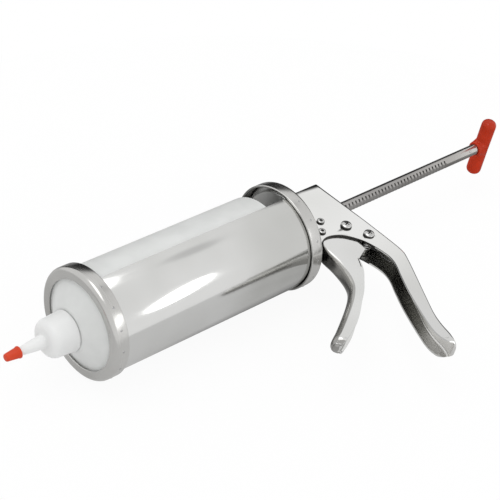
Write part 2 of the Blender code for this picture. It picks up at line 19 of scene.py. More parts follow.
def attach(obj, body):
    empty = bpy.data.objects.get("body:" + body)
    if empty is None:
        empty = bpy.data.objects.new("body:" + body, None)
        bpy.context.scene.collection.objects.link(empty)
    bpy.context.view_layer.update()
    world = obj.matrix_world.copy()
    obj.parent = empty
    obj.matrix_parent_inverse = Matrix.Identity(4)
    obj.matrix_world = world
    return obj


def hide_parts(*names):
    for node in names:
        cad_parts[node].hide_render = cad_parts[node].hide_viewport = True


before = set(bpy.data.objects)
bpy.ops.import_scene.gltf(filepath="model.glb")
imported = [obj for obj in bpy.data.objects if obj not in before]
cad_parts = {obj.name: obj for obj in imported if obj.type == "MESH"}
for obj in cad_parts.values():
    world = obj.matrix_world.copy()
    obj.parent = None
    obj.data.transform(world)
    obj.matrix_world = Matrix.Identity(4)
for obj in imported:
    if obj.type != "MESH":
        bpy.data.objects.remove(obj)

logging.basicConfig(level=logging.INFO, format="%(message)s")
log = logging.getLogger("sauce_gun")

Point = tuple[float, float]
Profile = list[Point]

GAP = 0.0003
MERGE = 0.000002


class Body(str, Enum):
    """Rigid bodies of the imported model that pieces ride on."""

    GUN = "gun_body"
    TRIGGER = "trigger_lever"
    DRIVE_PAWL = "drive_pawl_body"
    HOLD_PAWL = "hold_pawl_body"
    PUSHER = "pusher"
    ROD = "rod"
    TUBE = "tube"
    CAP = "cap"
    TIP = "tip"


class Slot(str, Enum):
    """Material slots of the imported model."""

    STEEL = "polished_steel"
    ZINC = "zinc_steel"
    SPRING = "spring_steel"
    WHITE = "white_plastic"
    RED = "red_plastic"


class Graph:
    """Short hand for building one material's nodes."""

    def __init__(self, name: str) -> None:
        """Starts a material with a Principled shader.

        Args:
            name: The material's name.
        """
        self.material = bpy.data.materials.new(name)
        self.material.use_nodes = True
        self.tree = self.material.node_tree
        self.shader = self.tree.nodes["Principled BSDF"]

    def add(self, kind: str, **values: object) -> bpy.types.Node:
        """Adds a node, setting attributes and inputs by name.

        Args:
            kind: The node's type.
            values: Attributes, or inputs whose spaces are written as underscores.

        Returns:
            The new node.
        """
        node = self.tree.nodes.new(kind)
        for key, value in values.items():
            if hasattr(node, key):
                setattr(node, key, value)
            else:
                node.inputs[key.replace("_", " ")].default_value = value
        return node

    def link(self, source: bpy.types.NodeSocket, target: bpy.types.NodeSocket) -> None:
        """Joins two sockets."""
        self.tree.links.new(source, target)

    def stretched(self, scale: tuple[float, float, float]) -> bpy.types.NodeSocket:
        """Object coordinates, stretched.

        Args:
            scale: Factor along each axis.

        Returns:
            The vector socket.
        """
        place = self.add("ShaderNodeTexCoord")
        mapping = self.add("ShaderNodeMapping", Scale=scale)
        self.link(place.outputs["Object"], mapping.inputs["Vector"])
        return mapping.outputs["Vector"]

    def noise(self, scale: tuple[float, float, float], detail: float) -> bpy.types.NodeSocket:
        """Noise on stretched Object coordinates.

        Args:
            scale: Factor along each axis.
            detail: Octaves of the noise.

        Returns:
            The noise's value socket.
        """
        node = self.add("ShaderNodeTexNoise", Scale=1.0, Detail=detail)
        self.link(self.stretched(scale), node.inputs["Vector"])
        return node.outputs["Fac"]

    def between(self, value: bpy.types.NodeSocket, low: float, high: float) -> bpy.types.NodeSocket:
        """Maps noise's usual range to a range of numbers.

        Args:
            value: The noise.
            low: Result where the noise is at its usual least.
            high: Result where the noise is at its usual most.

        Returns:
            The mapped socket.
        """
        node = self.add("ShaderNodeMapRange", From_Min=0.3, From_Max=0.7, To_Min=low, To_Max=high)
        self.link(value, node.inputs["Value"])
        return node.outputs["Result"]

    def tint(self, value: bpy.types.NodeSocket, dark: "Colour", light: "Colour") -> bpy.types.NodeSocket:
        """Colour between two tones.

        Args:
            value: Noise that chooses the tone.
            dark: Tone at its least.
            light: Tone at its most.

        Returns:
            The colour socket.
        """
        ramp = self.add("ShaderNodeValToRGB")
        ramp.color_ramp.elements[0].position = 0.35
        ramp.color_ramp.elements[1].position = 0.65
        ramp.color_ramp.elements[0].color = (*dark, 1)
        ramp.color_ramp.elements[1].color = (*light, 1)
        self.link(value, ramp.inputs["Fac"])
        return ramp.outputs["Color"]

    def bump(self, heights: list[tuple[bpy.types.NodeSocket, float]]) -> None:
        """Stacks bumps on the shader's normal.

        Args:
            heights: Height sockets with the depth of each in metres.
        """
        last = None
        for height, depth in heights:
            node = self.add("ShaderNodeBump", Strength=1.0, Distance=depth)
            self.link(height, node.inputs["Height"])
            if last:
                self.link(last, node.inputs["Normal"])
            last = node.outputs["Normal"]
        self.link(last, self.shader.inputs["Normal"])


Colour = tuple[float, float, float]


@dataclass(frozen=True)
class Metal:
    """Bright metal with polishing lines, which vary its gloss and bend its reflections.

    Attributes:
        name: The material's name.
        dark: Tone in the lines.
        light: Tone between them.
        gloss: Least and most roughness.
        lines: Stretch of the polishing lines along X, Y and Z.
        line_depth: Depth of the lines.
        wave_depth: Depth of the sheet's slow unevenness.
        waves: Stretch of that unevenness.
    """

    name: str
    dark: Colour
    light: Colour
    gloss: tuple[float, float]
    lines: tuple[float, float, float]
    line_depth: float
    wave_depth: float = 0.0
    waves: tuple[float, float, float] = field(default=(9.0, 16.0, 16.0), kw_only=True)

    def tone(self, graph: Graph) -> bpy.types.NodeSocket:
        """The metal's colour socket, smeared between its two tones."""
        return graph.tint(graph.noise((14.0, 14.0, 14.0), 2.0), self.dark, self.light)

    def material(self) -> bpy.types.Material:
        """Builds the material, or finds it built."""
        if self.name in bpy.data.materials:
            return bpy.data.materials[self.name]
        graph = Graph(self.name)
        graph.shader.inputs["Metallic"].default_value = 1.0
        lines = graph.noise(self.lines, 3.0)
        graph.link(self.tone(graph), graph.shader.inputs["Base Color"])
        graph.link(graph.between(lines, *self.gloss), graph.shader.inputs["Roughness"])
        heights = [(lines, self.line_depth)]
        if self.wave_depth:
            heights.append((graph.noise(self.waves, 1.0), self.wave_depth))
        graph.bump(heights)
        return graph.material


@dataclass(frozen=True)
class PaintedShadingMetal(Metal):
    """Metal with painted light and shade: its tone is multiplied by a factor that changes along an axis.

    Attributes:
        near: Painted light or shade, the colour by which its tone is multiplied where the change is full.
        span: Place where the change is full and where it ends.
        axis: The axis.
    """

    near: Colour = (1.0, 1.0, 1.0)
    span: tuple[float, float] = (-0.045, -0.12)
    axis: str = "Y"

    def tone(self, graph: Graph) -> bpy.types.NodeSocket:
        """The metal's colour socket, smeared, with painted light and shade changing along the axis."""
        split = graph.add("ShaderNodeSeparateXYZ")
        graph.link(graph.stretched((1.0, 1.0, 1.0)), split.inputs[0])
        change = graph.add(
            "ShaderNodeMapRange", interpolation_type="SMOOTHSTEP", From_Min=self.span[1], From_Max=self.span[0]
        )
        graph.link(split.outputs[self.axis], change.inputs["Value"])
        mix = graph.add("ShaderNodeMixRGB", blend_type="MULTIPLY")
        graph.link(change.outputs["Result"], mix.inputs["Fac"])
        graph.link(super().tone(graph), mix.inputs["Color1"])
        mix.inputs["Color2"].default_value = (*self.near, 1)
        return mix.outputs["Color"]


@dataclass(frozen=True)
class Plastic:
    """Moulded plastic with a faint mottle and grain.

    Attributes:
        name: The material's name.
        dark: Darker tone of the mottle.
        light: Lighter tone.
        gloss: Least and most roughness.
        grain_depth: Depth of the surface's grain.
        milky: How much light passes under the surface.
        milky_reach: How far it passes.
        sheen: Strength of its surface reflection, where 0.5 is usual.
    """

    name: str
    dark: Colour
    light: Colour
    gloss: tuple[float, float]
    grain_depth: float
    milky: float = 0.0
    milky_reach: float = 0.004
    sheen: float = 0.5

    def material(self) -> bpy.types.Material:
        """Builds the material, or finds it built."""
        if self.name in bpy.data.materials:
            return bpy.data.materials[self.name]
        graph = Graph(self.name)
        mottle = graph.noise((60.0, 60.0, 60.0), 4.0)
        grain = graph.noise((900.0, 900.0, 900.0), 2.0)
        graph.link(graph.tint(mottle, self.dark, self.light), graph.shader.inputs["Base Color"])
        graph.link(graph.between(mottle, *self.gloss), graph.shader.inputs["Roughness"])
        graph.bump([(grain, self.grain_depth)])
        graph.shader.inputs["Specular IOR Level"].default_value = self.sheen
        if self.milky:
            graph.shader.inputs["Subsurface Weight"].default_value = self.milky
            graph.shader.inputs["Subsurface Radius"].default_value = (1.0, 1.0, 1.0)
            graph.shader.inputs["Subsurface Scale"].default_value = self.milky_reach
        return graph.material


# Painted shade: the cradle's tone darkens towards its rear end, from full at X = 0.085 to 0.84 times at X = 0.165.
CRADLE_STEEL = PaintedShadingMetal(
    "cradle_steel", (0.60, 0.60, 0.585), (0.69, 0.69, 0.68), (0.07, 0.16), (5.0, 260.0, 260.0), 0.0000006, 0.00014,
    (0.84, 0.84, 0.83), (0.165, 0.085), "X"
)
# Painted light: the frame's tone is lightened 1.24 times at its top, above Y = -0.045, fading out by Y = -0.12 down
# the handle.
PRESSED_STEEL = PaintedShadingMetal(
    "pressed_steel", (0.60, 0.60, 0.585), (0.65, 0.65, 0.64), (0.05, 0.11), (60.0, 60.0, 260.0), 0.0000006, 0.00004,
    (1.24, 1.24, 1.24)
)
# Painted shade: the inside of the frame is darkened to 0.74 times above Y = -0.108; below Y = -0.136, towards the
# handle's end, it keeps its own tone.
INSIDE_STEEL = PaintedShadingMetal(
    "inside_steel", (0.62, 0.615, 0.60), (0.84, 0.835, 0.82), (0.14, 0.30), (160.0, 40.0, 420.0), 0.000003, 0.00022,
    (0.74, 0.74, 0.72), (-0.108, -0.136), waves=(70.0, 9.0, 190.0)
)
TRIGGER_STEEL = Metal(
    "trigger_steel", (0.64, 0.64, 0.625), (0.71, 0.71, 0.70), (0.09, 0.17), (60.0, 60.0, 260.0), 0.000001, 0.00010,
    waves=(24.0, 12.0, 60.0)
)
# Painted shade: a darker copy of the trigger's steel for its finger side, the faces turned towards -X.
WEB_PAINTED_SHADE = Metal(
    "web_painted_shade", (0.26, 0.255, 0.245), (0.46, 0.455, 0.44), (0.10, 0.20), (60.0, 60.0, 420.0), 0.000002, 0.00006
)
RING_STEEL = Metal(
    "ring_steel", (0.47, 0.465, 0.45), (0.62, 0.615, 0.60), (0.18, 0.28), (900.0, 14.0, 14.0), 0.000004, 0.00002
)
DISC_STEEL = Metal(
    "disc_steel", (0.80, 0.795, 0.78), (0.86, 0.86, 0.845), (0.28, 0.40), (40.0, 160.0, 160.0), 0.000001, 0.00004
)
# Painted light: the rod's tone is lightened towards its rear end, from X = 0.29 to 1.5 times behind X = 0.41.
ROD_STEEL = PaintedShadingMetal(
    "rod_steel", (0.30, 0.29, 0.28), (0.42, 0.41, 0.40), (0.18, 0.30), (30.0, 500.0, 500.0), 0.000003, 0.0,
    (1.5, 1.5, 1.48), (0.41, 0.29), "X"
)
# Painted shade: near-black steel put on edges, rims, recesses and tooth gullets where shade falls.
PAINTED_SHADE_STEEL = Metal(
    "painted_shade_steel", (0.035, 0.034, 0.032), (0.07, 0.068, 0.065), (0.35, 0.5), (300.0, 300.0, 300.0), 0.000003
)
PLATED = Metal("plated_steel", (0.44, 0.44, 0.43), (0.56, 0.56, 0.55), (0.14, 0.26), (160.0, 160.0, 160.0), 0.000003)
WIRE = Metal("spring_wire", (0.34, 0.34, 0.34), (0.44, 0.44, 0.44), (0.2, 0.35), (300.0, 300.0, 300.0), 0.000003)
TUBE_WHITE = Plastic(
    "tube_white", (0.64, 0.65, 0.64), (0.68, 0.69, 0.68), (0.34, 0.44), 0.000006, milky=0.15, sheen=0.35
)
CAP_WHITE = Plastic(
    "cap_white", (0.74, 0.745, 0.74), (0.78, 0.785, 0.78), (0.36, 0.46), 0.000008, milky=0.3, sheen=0.35
)
HANDLE_RED = Plastic("handle_red", (0.40, 0.024, 0.005), (0.54, 0.034, 0.007), (0.22, 0.32), 0.000012, sheen=0.2)
TIP_RED = Plastic("tip_red", (0.56, 0.046, 0.014), (0.64, 0.058, 0.018), (0.34, 0.46), 0.000012, sheen=0.25)


def rounded(corners: list[tuple[float, float, float]], steps: int = 5, closed: bool = True) -> Profile:
    """Rounds the corners of an outline with arcs.

    Args:
        corners: Points with the radius at each.
        steps: Stretches in each arc.
        closed: Whether the last point joins the first.

    Returns:
        The outline's points.
    """
    made: Profile = []
    count = len(corners)
    for i, (x, y, radius) in enumerate(corners):
        end = not closed and i in (0, count - 1)
        if radius <= 0 or end:
            made.append((x, y))
            continue
        here = Vector((x, y))
        before = (Vector(corners[i - 1][:2]) - here).normalized()
        after = (Vector(corners[(i + 1) % count][:2]) - here).normalized()
        half = before.angle(after) / 2
        middle = here + (before + after).normalized() * (radius / sin(half))
        first = here + before * (radius / (sin(half) / cos(half))) - middle
        last = here + after * (radius / (sin(half) / cos(half))) - middle
        sweep = first.angle_signed(last)
        for k in range(steps + 1):
            turned = first.copy()
            turned.rotate(Matrix.Rotation(-sweep * k / steps, 2))
            made.append(tuple(middle + turned))
    return made


def flowing(points: Profile, pieces: int = 6) -> Profile:
    """A smooth path through points.

    Args:
        points: The points passed through.
        pieces: Stretches between neighbours.

    Returns:
        The path's points.
    """
    known = [Vector(p) for p in points]
    known = [2 * known[0] - known[1]] + known + [2 * known[-1] - known[-2]]
    made: Profile = []
    for a, b, c, d in zip(known, known[1:], known[2:], known[3:]):
        for k in range(pieces):
            t = k / pieces
            made.append(tuple(
                0.5 * (2 * b + (c - a) * t + (2 * a - 5 * b + 4 * c - d) * t * t + (3 * b - a - 3 * c + d) * t ** 3)
            ))
    made.append(tuple(known[-2]))
    return made


def spun(points: Profile, closed: bool, steps: int = 128, angle: float = tau) -> bmesh.types.BMesh:
    """Spins a profile about the barrel axis, from +Z through -Y.

    Args:
        points: Profile of (place along X, radius) points.
        closed: Whether its ends join.
        steps: Steps in the spin.
        angle: How far it spins.

    Returns:
        The spun mesh.
    """
    build = bmesh.new()
    verts = [build.verts.new((x, 0.0, radius)) for x, radius in points]
    edges = [build.edges.new(pair) for pair in zip(verts, verts[1:])]
    if closed:
        edges.append(build.edges.new((verts[-1], verts[0])))
    bmesh.ops.spin(
        build, geom=verts + edges, cent=(0, 0, 0), axis=(1, 0, 0), angle=angle, steps=steps, use_merge=angle >= tau,
        use_duplicate=False,
    )
    if angle < tau:
        bmesh.ops.holes_fill(build, edges=[e for e in build.edges if e.is_boundary], sides=0)
    tidy(build)
    return build


def tidy(build: bmesh.types.BMesh) -> None:
    """Merges doubles and turns every face outwards."""
    bmesh.ops.remove_doubles(build, verts=build.verts, dist=MERGE)
    bmesh.ops.recalc_face_normals(build, faces=build.faces)


def turn_to(build: bmesh.types.BMesh, at: tuple[float, float, float], axis: tuple[float, float, float]) -> None:
    """Turns a mesh made about X to stand about another axis.

    Args:
        build: The mesh.
        at: Where its origin goes.
        axis: Where its +X goes.
    """
    turn = Vector(axis).to_track_quat("X", "Z").to_matrix().to_4x4()
    bmesh.ops.transform(build, matrix=Matrix.Translation(at) @ turn, verts=build.verts)


def block(outline: Profile, low: float, high: float) -> bmesh.types.BMesh:
    """An outline in XY, pulled up along Z.

    Args:
        outline: The outline's points.
        low: Where it starts.
        high: Where it ends.

    Returns:
        The solid mesh.
    """
    build = bmesh.new()
    face = build.faces.new([build.verts.new((x, y, low)) for x, y in outline])
    made = bmesh.ops.extrude_face_region(build, geom=[face])
    moved = [part for part in made["geom"] if isinstance(part, bmesh.types.BMVert)]
    bmesh.ops.translate(build, verts=moved, vec=(0, 0, high - low))
    tidy(build)
    return build


def join(*builds: bmesh.types.BMesh) -> bmesh.types.BMesh:
    """Puts meshes together in the first, and frees the others."""
    first = builds[0]
    for other in builds[1:]:
        held = bpy.data.meshes.new("held")
        other.to_mesh(held)
        other.free()
        first.from_mesh(held)
        bpy.data.meshes.remove(held)
    return first


def spare(build: bmesh.types.BMesh) -> bpy.types.Object:
    """An object for a Boolean, to be used up by it."""
    mesh = bpy.data.meshes.new("spare")
    build.to_mesh(mesh)
    build.free()
    made = bpy.data.objects.new("spare", mesh)
    bpy.context.scene.collection.objects.link(made)
    return made


def bake(piece: bpy.types.Object) -> None:
    """Applies a piece's modifiers to its mesh."""
    graph = bpy.context.evaluated_depsgraph_get()
    graph.update()
    mesh = bpy.data.meshes.new_from_object(piece.evaluated_get(graph))
    piece.modifiers.clear()
    old = piece.data
    piece.data = mesh
    bpy.data.meshes.remove(old)


def carve(piece: bpy.types.Object, tool: bmesh.types.BMesh, operation: str = "DIFFERENCE") -> None:
    """Applies an exact Boolean to a piece.

    Args:
        piece: The piece carved.
        tool: The other shape, which is used up.
        operation: DIFFERENCE, INTERSECT or UNION.
    """
    other = spare(tool)
    modifier = piece.modifiers.new("carve", "BOOLEAN")
    modifier.operation = operation
    modifier.solver = "EXACT"
    modifier.object = other
    bake(piece)
    bpy.data.objects.remove(other, do_unlink=True)
    build = bmesh.new()
    build.from_mesh(piece.data)
    bmesh.ops.remove_doubles(build, verts=build.verts, dist=MERGE)
    bmesh.ops.dissolve_degenerate(build, edges=build.edges, dist=MERGE)
    build.to_mesh(piece.data)
    build.free()


def soften(piece: bpy.types.Object, width: float, segments: int = 2, limit: float = 40) -> None:
    """Rounds a piece's sharp edges a little.

    Args:
        piece: The piece.
        width: Width of the rounding.
        segments: Steps across it.
        limit: Least angle in degrees that is rounded.
    """
    modifier = piece.modifiers.new("soften", "BEVEL")
    modifier.width = width
    modifier.segments = segments
    modifier.limit_method = "ANGLE"
    modifier.angle_limit = radians(limit)
    modifier.use_clamp_overlap = True
    modifier.miter_outer = "MITER_ARC"
    bake(piece)


def add_piece(
    name: str, build: bmesh.types.BMesh, finish: Metal | Plastic, body: Body, nodes: tuple[str, ...]
) -> bpy.types.Object:
    """Makes a piece of the object from a mesh.

    Args:
        name: The piece's name.
        build: Its mesh, which is used up.
        finish: Its finish.
        body: The body it rides on.
        nodes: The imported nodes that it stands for.

    Returns:
        The piece.
    """
    mesh = bpy.data.meshes.new(name)
    build.to_mesh(mesh)
    build.free()
    piece = bpy.data.objects.new(name, mesh)
    bpy.context.scene.collection.objects.link(piece)
    mesh.materials.append(finish.material())
    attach(piece, body.value)
    if nodes:
        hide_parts(*nodes)
    return piece


def shade(piece: bpy.types.Object, limit: float = 32) -> None:
    """Shades a piece smooth, apart from edges sharper than the limit in degrees, and reports it."""
    mesh = piece.data
    for polygon in mesh.polygons:
        polygon.use_smooth = True
    mesh.set_sharp_from_angle(angle=radians(limit))
    log.info("%s: %d faces", piece.name, len(mesh.polygons))


def mark(piece: bpy.types.Object, finish: Metal, chosen: Callable[[bpy.types.MeshPolygon], bool]) -> None:
    """Gives some of a piece's faces another finish.

    Args:
        piece: The piece.
        finish: The other finish.
        chosen: Tells whether a face gets it.
    """
    piece.data.materials.append(finish.material())
    last = len(piece.data.materials) - 1
    for polygon in piece.data.polygons:
        if chosen(polygon):
            polygon.material_index = last


def dome(radius: float, height: float, steps: int = 6) -> Profile:
    """A domed head's profile, from its rim to its crown.

    Args:
        radius: Radius at the rim.
        height: How far the crown stands over the rim.
        steps: Stretches in the dome.

    Returns:
        (height, radius) points.
    """
    return [(height * sin(pi / 2 * k / steps), radius * cos(pi / 2 * k / steps)) for k in range(steps + 1)]


@dataclass
class Barrel:
    """Two ring caps with the half-round cradle welded between them.

    Attributes:
        radius: Outside of the rings.
        sheet: Thickness of the ring caps.
        width: How far each cap's band reaches along the barrel.
        bend: Outside radius of the bend between face and band.
        front: Place of the front cap's face.
        back: Place of the rear cap's face.
        opening: Radius of the front cap's opening.
        bush_hole: Radius of the rear cap's hole.
        cradle_radius: Outside of the cradle.
        cradle_sheet: Its thickness.
        weld_count: Spot welds round half a cap.
        weld_radius: Size of a weld's dimple.
    """

    radius: float = 0.0415
    sheet: float = 0.0016
    width: float = 0.0115
    bend: float = 0.0034
    front: float = -0.002
    back: float = 0.191
    opening: float = 0.0334
    bush_hole: float = 0.0063
    cradle_radius: float = 0.0396
    cradle_sheet: float = 0.0008
    weld_count: int = 8
    weld_radius: float = 0.0009

    def cap_profile(self, face: float, inward: int, inner: float) -> Profile:
        """A cap's section.

        Args:
            face: Place of its outer face.
            inward: +1 or -1, the way its band reaches.
            inner: Radius of its opening.

        Returns:
            The closed profile.
        """
        rim = face + inward * self.width
        inside = face + inward * self.sheet
        band = self.radius - self.sheet
        lip = self.sheet * 0.45
        return rounded([
            (face, inner, lip), (face, self.radius, self.bend), (rim, self.radius, lip), (rim, band, lip / 2),
            (inside, band, self.bend - self.sheet), (inside, inner, lip),
        ], 6)

    def welds(self, middle: float) -> bmesh.types.BMesh:
        """Small raised spot welds along a band.

        Args:
            middle: Place of their row along the barrel.

        Returns:
            Their mesh.
        """
        made = bmesh.new()
        for k in range(self.weld_count):
            angle = pi * (k + 0.5) / self.weld_count
            spot = Matrix.Translation((middle, -self.radius * sin(angle), self.radius * cos(angle)))
            turn = Matrix.Rotation(angle, 4, "X")
            flat = Matrix.Diagonal((1, 1, 0.28, 1))
            bmesh.ops.create_icosphere(made, subdivisions=3, radius=self.weld_radius, matrix=spot @ turn @ flat)
        return made

    def on_weld(self, face: bpy.types.MeshPolygon) -> bool:
        """Tells whether a face is on a spot weld."""
        return hypot(face.center.y, face.center.z) > self.radius + 0.00004

    def build(self) -> None:
        """Makes the caps and the cradle."""
        front = spun(self.cap_profile(self.front, 1, self.opening), True, 192)
        front = join(front, self.welds(self.front + self.width * 0.55))
        piece = add_piece("front_ring_cap", front, RING_STEEL, Body.GUN, ("front_ring",))
        mark(piece, WIRE, self.on_weld)
        shade(piece)
        rear = spun(self.cap_profile(self.back, -1, self.bush_hole), True, 192)
        rear = join(rear, self.welds(self.back - self.width * 0.5))
        piece = add_piece("rear_ring_cap", rear, RING_STEEL, Body.GUN, ("rear_cap",))
        mark(piece, WIRE, self.on_weld)
        inside = self.back - self.bend * 0.3
        mark(piece, DISC_STEEL, lambda face: (
            hypot(face.center.y, face.center.z) < self.radius - self.bend and face.center.x < inside
        ))
        shade(piece)
        start = self.front + 0.003 + GAP
        end = self.back - 0.003 - GAP
        inner = self.cradle_radius - self.cradle_sheet
        edge = self.cradle_sheet * 0.3
        section = rounded([
            (start, self.cradle_radius, edge), (end, self.cradle_radius, edge), (end, inner, edge),
            (start, inner, edge),
        ], 2)
        shade(add_piece(
            "cradle", spun(section, True, 128, pi), CRADLE_STEEL, Body.GUN, ("cradle_trough",)
        ))


@dataclass
class TubeSet:
    """The tube, its screwed spout cap and the small tip.

    Attributes:
        radius: Outside of the tube.
        wall: Its wall.
        face: Thickness of its front wall.
        front: Place of its front.
        rear: Place of its rear end.
        shoulder_radius: Radius at which its front starts to rise.
        shoulder_rise: How far the front rises to the cap.
        neck_radius: Outside of its neck.
        neck_front: Place of the neck's end.
        cap_radius: Cap's radius at the tube.
        cap_front_radius: Cap's radius at its shoulder.
        cap_front: Place of the cap's front.
        spout_base: Spout's radius at the cap.
        spout_end: Its radius at its end.
        spout_tip: Place of its end.
        ribs: Ribs round the tip.
    """

    radius: float = 0.0381
    wall: float = 0.0012
    face: float = 0.0015
    front: float = 0.0
    rear: float = 0.162
    shoulder_radius: float = 0.0322
    shoulder_rise: float = 0.0105
    neck_radius: float = 0.0095
    neck_front: float = -0.0150
    cap_radius: float = 0.0152
    cap_front_radius: float = 0.0137
    cap_front: float = -0.0311
    spout_base: float = 0.0052
    spout_end: float = 0.0019
    spout_tip: float = -0.0577
    ribs: int = 12

    def build(self) -> None:
        """Makes the three pieces."""
        inner = self.radius - self.wall
        bore = self.neck_radius - self.face
        seat = self.front - self.shoulder_rise
        tube = rounded([
            (self.rear, self.radius, self.wall * 0.4), (self.front, self.radius, self.wall),
            (self.front, self.shoulder_radius, 0.006), (seat, self.cap_radius + 0.0012, 0.003),
            (seat, self.neck_radius, 0.0004), (self.neck_front, self.neck_radius, 0.0004),
            (self.neck_front, bore, 0.0004), (seat + self.face, bore, 0.0004),
            (seat + self.face, self.cap_radius - self.face, 0.002),
            (self.front + self.face, self.shoulder_radius - self.face, 0.005),
            (self.front + self.face, inner, self.wall * 0.5), (self.rear, inner, self.wall * 0.4),
        ], 5)
        shade(add_piece("tube", spun(tube, True, 160), TUBE_WHITE, Body.TUBE, ("sauce_tube",)))
        rear = seat - GAP
        cap = rounded([
            (rear, self.cap_radius, 0.0008), (self.cap_front + 0.001, self.cap_front_radius, 0.0058),
            (self.cap_front, self.spout_base, 0.0012), (self.spout_tip, self.spout_end, 0.0003),
            (self.spout_tip, 0.001, 0), (self.neck_front - 0.0012, 0.002, 0.0006),
            (self.neck_front - GAP, self.neck_radius + GAP, 0.0008), (rear, self.neck_radius + GAP, 0.0004),
        ], 8)
        shade(add_piece("spout", spun(cap, True, 96), CAP_WHITE, Body.CAP, ("spout_cap",)), 50)
        self.build_tip()

    def build_tip(self) -> None:
        """Makes the red tip with its ribs and rim."""
        mouth = self.spout_tip + 0.0075
        end = self.spout_tip - 0.0036
        outside = rounded([
            (end, 0, 0), (end, 0.0027, 0.0010), (mouth - 0.0014, 0.0039, 0), (mouth - 0.0011, 0.0043, 0.0002),
            (mouth, 0.0043, 0.0003), (mouth, 0.0032, 0.0002), (self.spout_tip - GAP, self.spout_end + GAP, 0.0002),
            (self.spout_tip - GAP, 0, 0),
        ], 4, closed=False)
        build = spun(outside, False, self.ribs * 8)
        rib = 0.00022
        for vert in build.verts:
            reach = hypot(vert.co.y, vert.co.z)
            along = (vert.co.x - end) / (mouth - 0.0014 - end)
            if 0.12 < along < 0.97 and reach > 0.0022:
                angle = atan2(vert.co.y, vert.co.z)
                shift = rib * (cos(angle * self.ribs) - 1) / 2
                vert.co.y *= 1 + shift / reach
                vert.co.z *= 1 + shift / reach
        shade(add_piece("tip", build, TIP_RED, Body.TIP, ("tip_cap",)), 50)


@dataclass
class Station:
    """One section of a pressed channel.

    Attributes:
        base: Outside of its web.
        inward: Unit way from the web to the open side.
        half: Half the width.
        height: Height of the side walls.
        bend: Outside radius of the bends.
    """

    base: Vector
    inward: Vector
    half: float
    height: float
    bend: float

    def points(self, arc: int = 8, wall: int = 4) -> list[Vector]:
        """The section's points, from one free edge over the web to the other.

        Args:
            arc: Stretches in each bend.
            wall: Stretches in each side wall.

        Returns:
            The points.
        """
        half_section: list[tuple[float, float]] = []
        for k in range(wall):
            half_section.append((self.height + (self.bend - self.height) * k / wall, self.half))
        for k in range(arc + 1):
            a = pi / 2 * k / arc
            half_section.append((self.bend * (1 - sin(a)), self.half - self.bend * (1 - cos(a))))
        half_section.append((0.0, (self.half - self.bend) / 2))
        other = [(depth, -side) for depth, side in half_section[::-1]]
        made = []
        for depth, side in half_section + [(0.0, 0.0)] + other:
            flat = self.base + self.inward * depth
            made.append(Vector((flat.x, flat.y, side)))
        return made


def pressed_channel(
    name: str, stations: list[Station], sheet: float, side_view: Profile, half: float, finish: Metal, body: Body,
    node: str,
) -> bpy.types.Object:
    """Presses a channel from sheet: lofts its sections, thickens them and trims them to a side view.

    Args:
        name: The piece's name.
        stations: Its sections, in order.
        sheet: Thickness of the sheet.
        side_view: Outline that trims it.
        half: Half its greatest width.
        finish: Its finish.
        body: The body it rides on.
        node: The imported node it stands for.

    Returns:
        The trimmed piece, not yet shaded.
    """
    build = bmesh.new()
    last: list = []
    for station in stations:
        verts = [build.verts.new(point) for point in station.points()]
        edges = [build.edges.new(pair) for pair in zip(verts, verts[1:])]
        if last:
            bmesh.ops.bridge_loops(build, edges=last + edges)
        last = edges
    bmesh.ops.recalc_face_normals(build, faces=build.faces)
    middle = stations[len(stations) // 2]
    web = min(build.faces, key=lambda f: (f.calc_center_median() - Vector((*middle.base, 0.0))).length)
    if web.normal.dot(Vector((*middle.inward, 0.0))) > 0:
        bmesh.ops.reverse_faces(build, faces=build.faces)
    piece = add_piece(name, build, finish, body, (node,))
    thick = piece.modifiers.new("sheet", "SOLIDIFY")
    thick.thickness = sheet
    thick.offset = -1
    thick.use_even_offset = True
    bake(piece)
    carve(piece, block(side_view, -half - 0.001, half + 0.001), "INTERSECT")
    return piece


def round_end(
    piece: bpy.types.Object, end: Point, way: Point, half: float, reach: float, depth: float, steps: int = 16
) -> None:
    """Trims a channel's end to half an ellipse across its width.

    Args:
        piece: The channel.
        end: Its end point.
        way: The way out of its end.
        half: Half its width.
        reach: How long the ellipse is.
        depth: Half the depth that is trimmed.
        steps: Stretches in each quarter.
    """
    out = Vector(way).normalized()
    beyond = half + 0.001
    outline = [(0.02, -beyond), (0.02, beyond), (-reach, beyond)]
    for k in range(2 * steps + 1):
        a = pi * k / (2 * steps)
        outline.append((-reach + reach * sin(a), half * cos(a)))
    outline.append((-reach, -beyond))
    tool = block(outline, -depth, depth)
    side = Vector((0, 0, 1))
    across = out.to_3d()
    turn = Matrix((across, side, across.cross(side))).transposed().to_4x4()
    bmesh.ops.transform(tool, matrix=Matrix.Translation((*end, 0)) @ turn, verts=tool.verts)
    bmesh.ops.recalc_face_normals(tool, faces=tool.faces)
    carve(piece, tool)


def drill(piece: bpy.types.Object, at: Point, radius: float, reach: float, steps: int = 48) -> None:
    """Drills across the gun, along Z.

    Args:
        piece: The piece drilled.
        at: The hole's place.
        radius: Its radius.
        reach: Half its length.
        steps: Sides of the drill.
    """
    tool = bmesh.new()
    bmesh.ops.create_cone(
        tool, cap_ends=True, segments=steps, radius1=radius, radius2=radius, depth=2 * reach,
        matrix=Matrix.Translation((*at, 0)),
    )
    carve(piece, tool)


def bore(piece: bpy.types.Object, place: float, radius: float, length: float, steps: int) -> None:
    """Drills along the barrel axis.

    Args:
        piece: The piece drilled.
        place: Middle of the hole.
        radius: Its radius.
        length: Its length.
        steps: Sides of the drill.
    """
    tool = bmesh.new()
    bmesh.ops.create_cone(tool, cap_ends=True, segments=steps, radius1=radius, radius2=radius, depth=length)
    bmesh.ops.rotate(tool, verts=tool.verts, matrix=Matrix.Rotation(pi / 2, 3, "Y"))
    bmesh.ops.translate(tool, verts=tool.verts, vec=(place, 0, 0))
    carve(piece, tool)


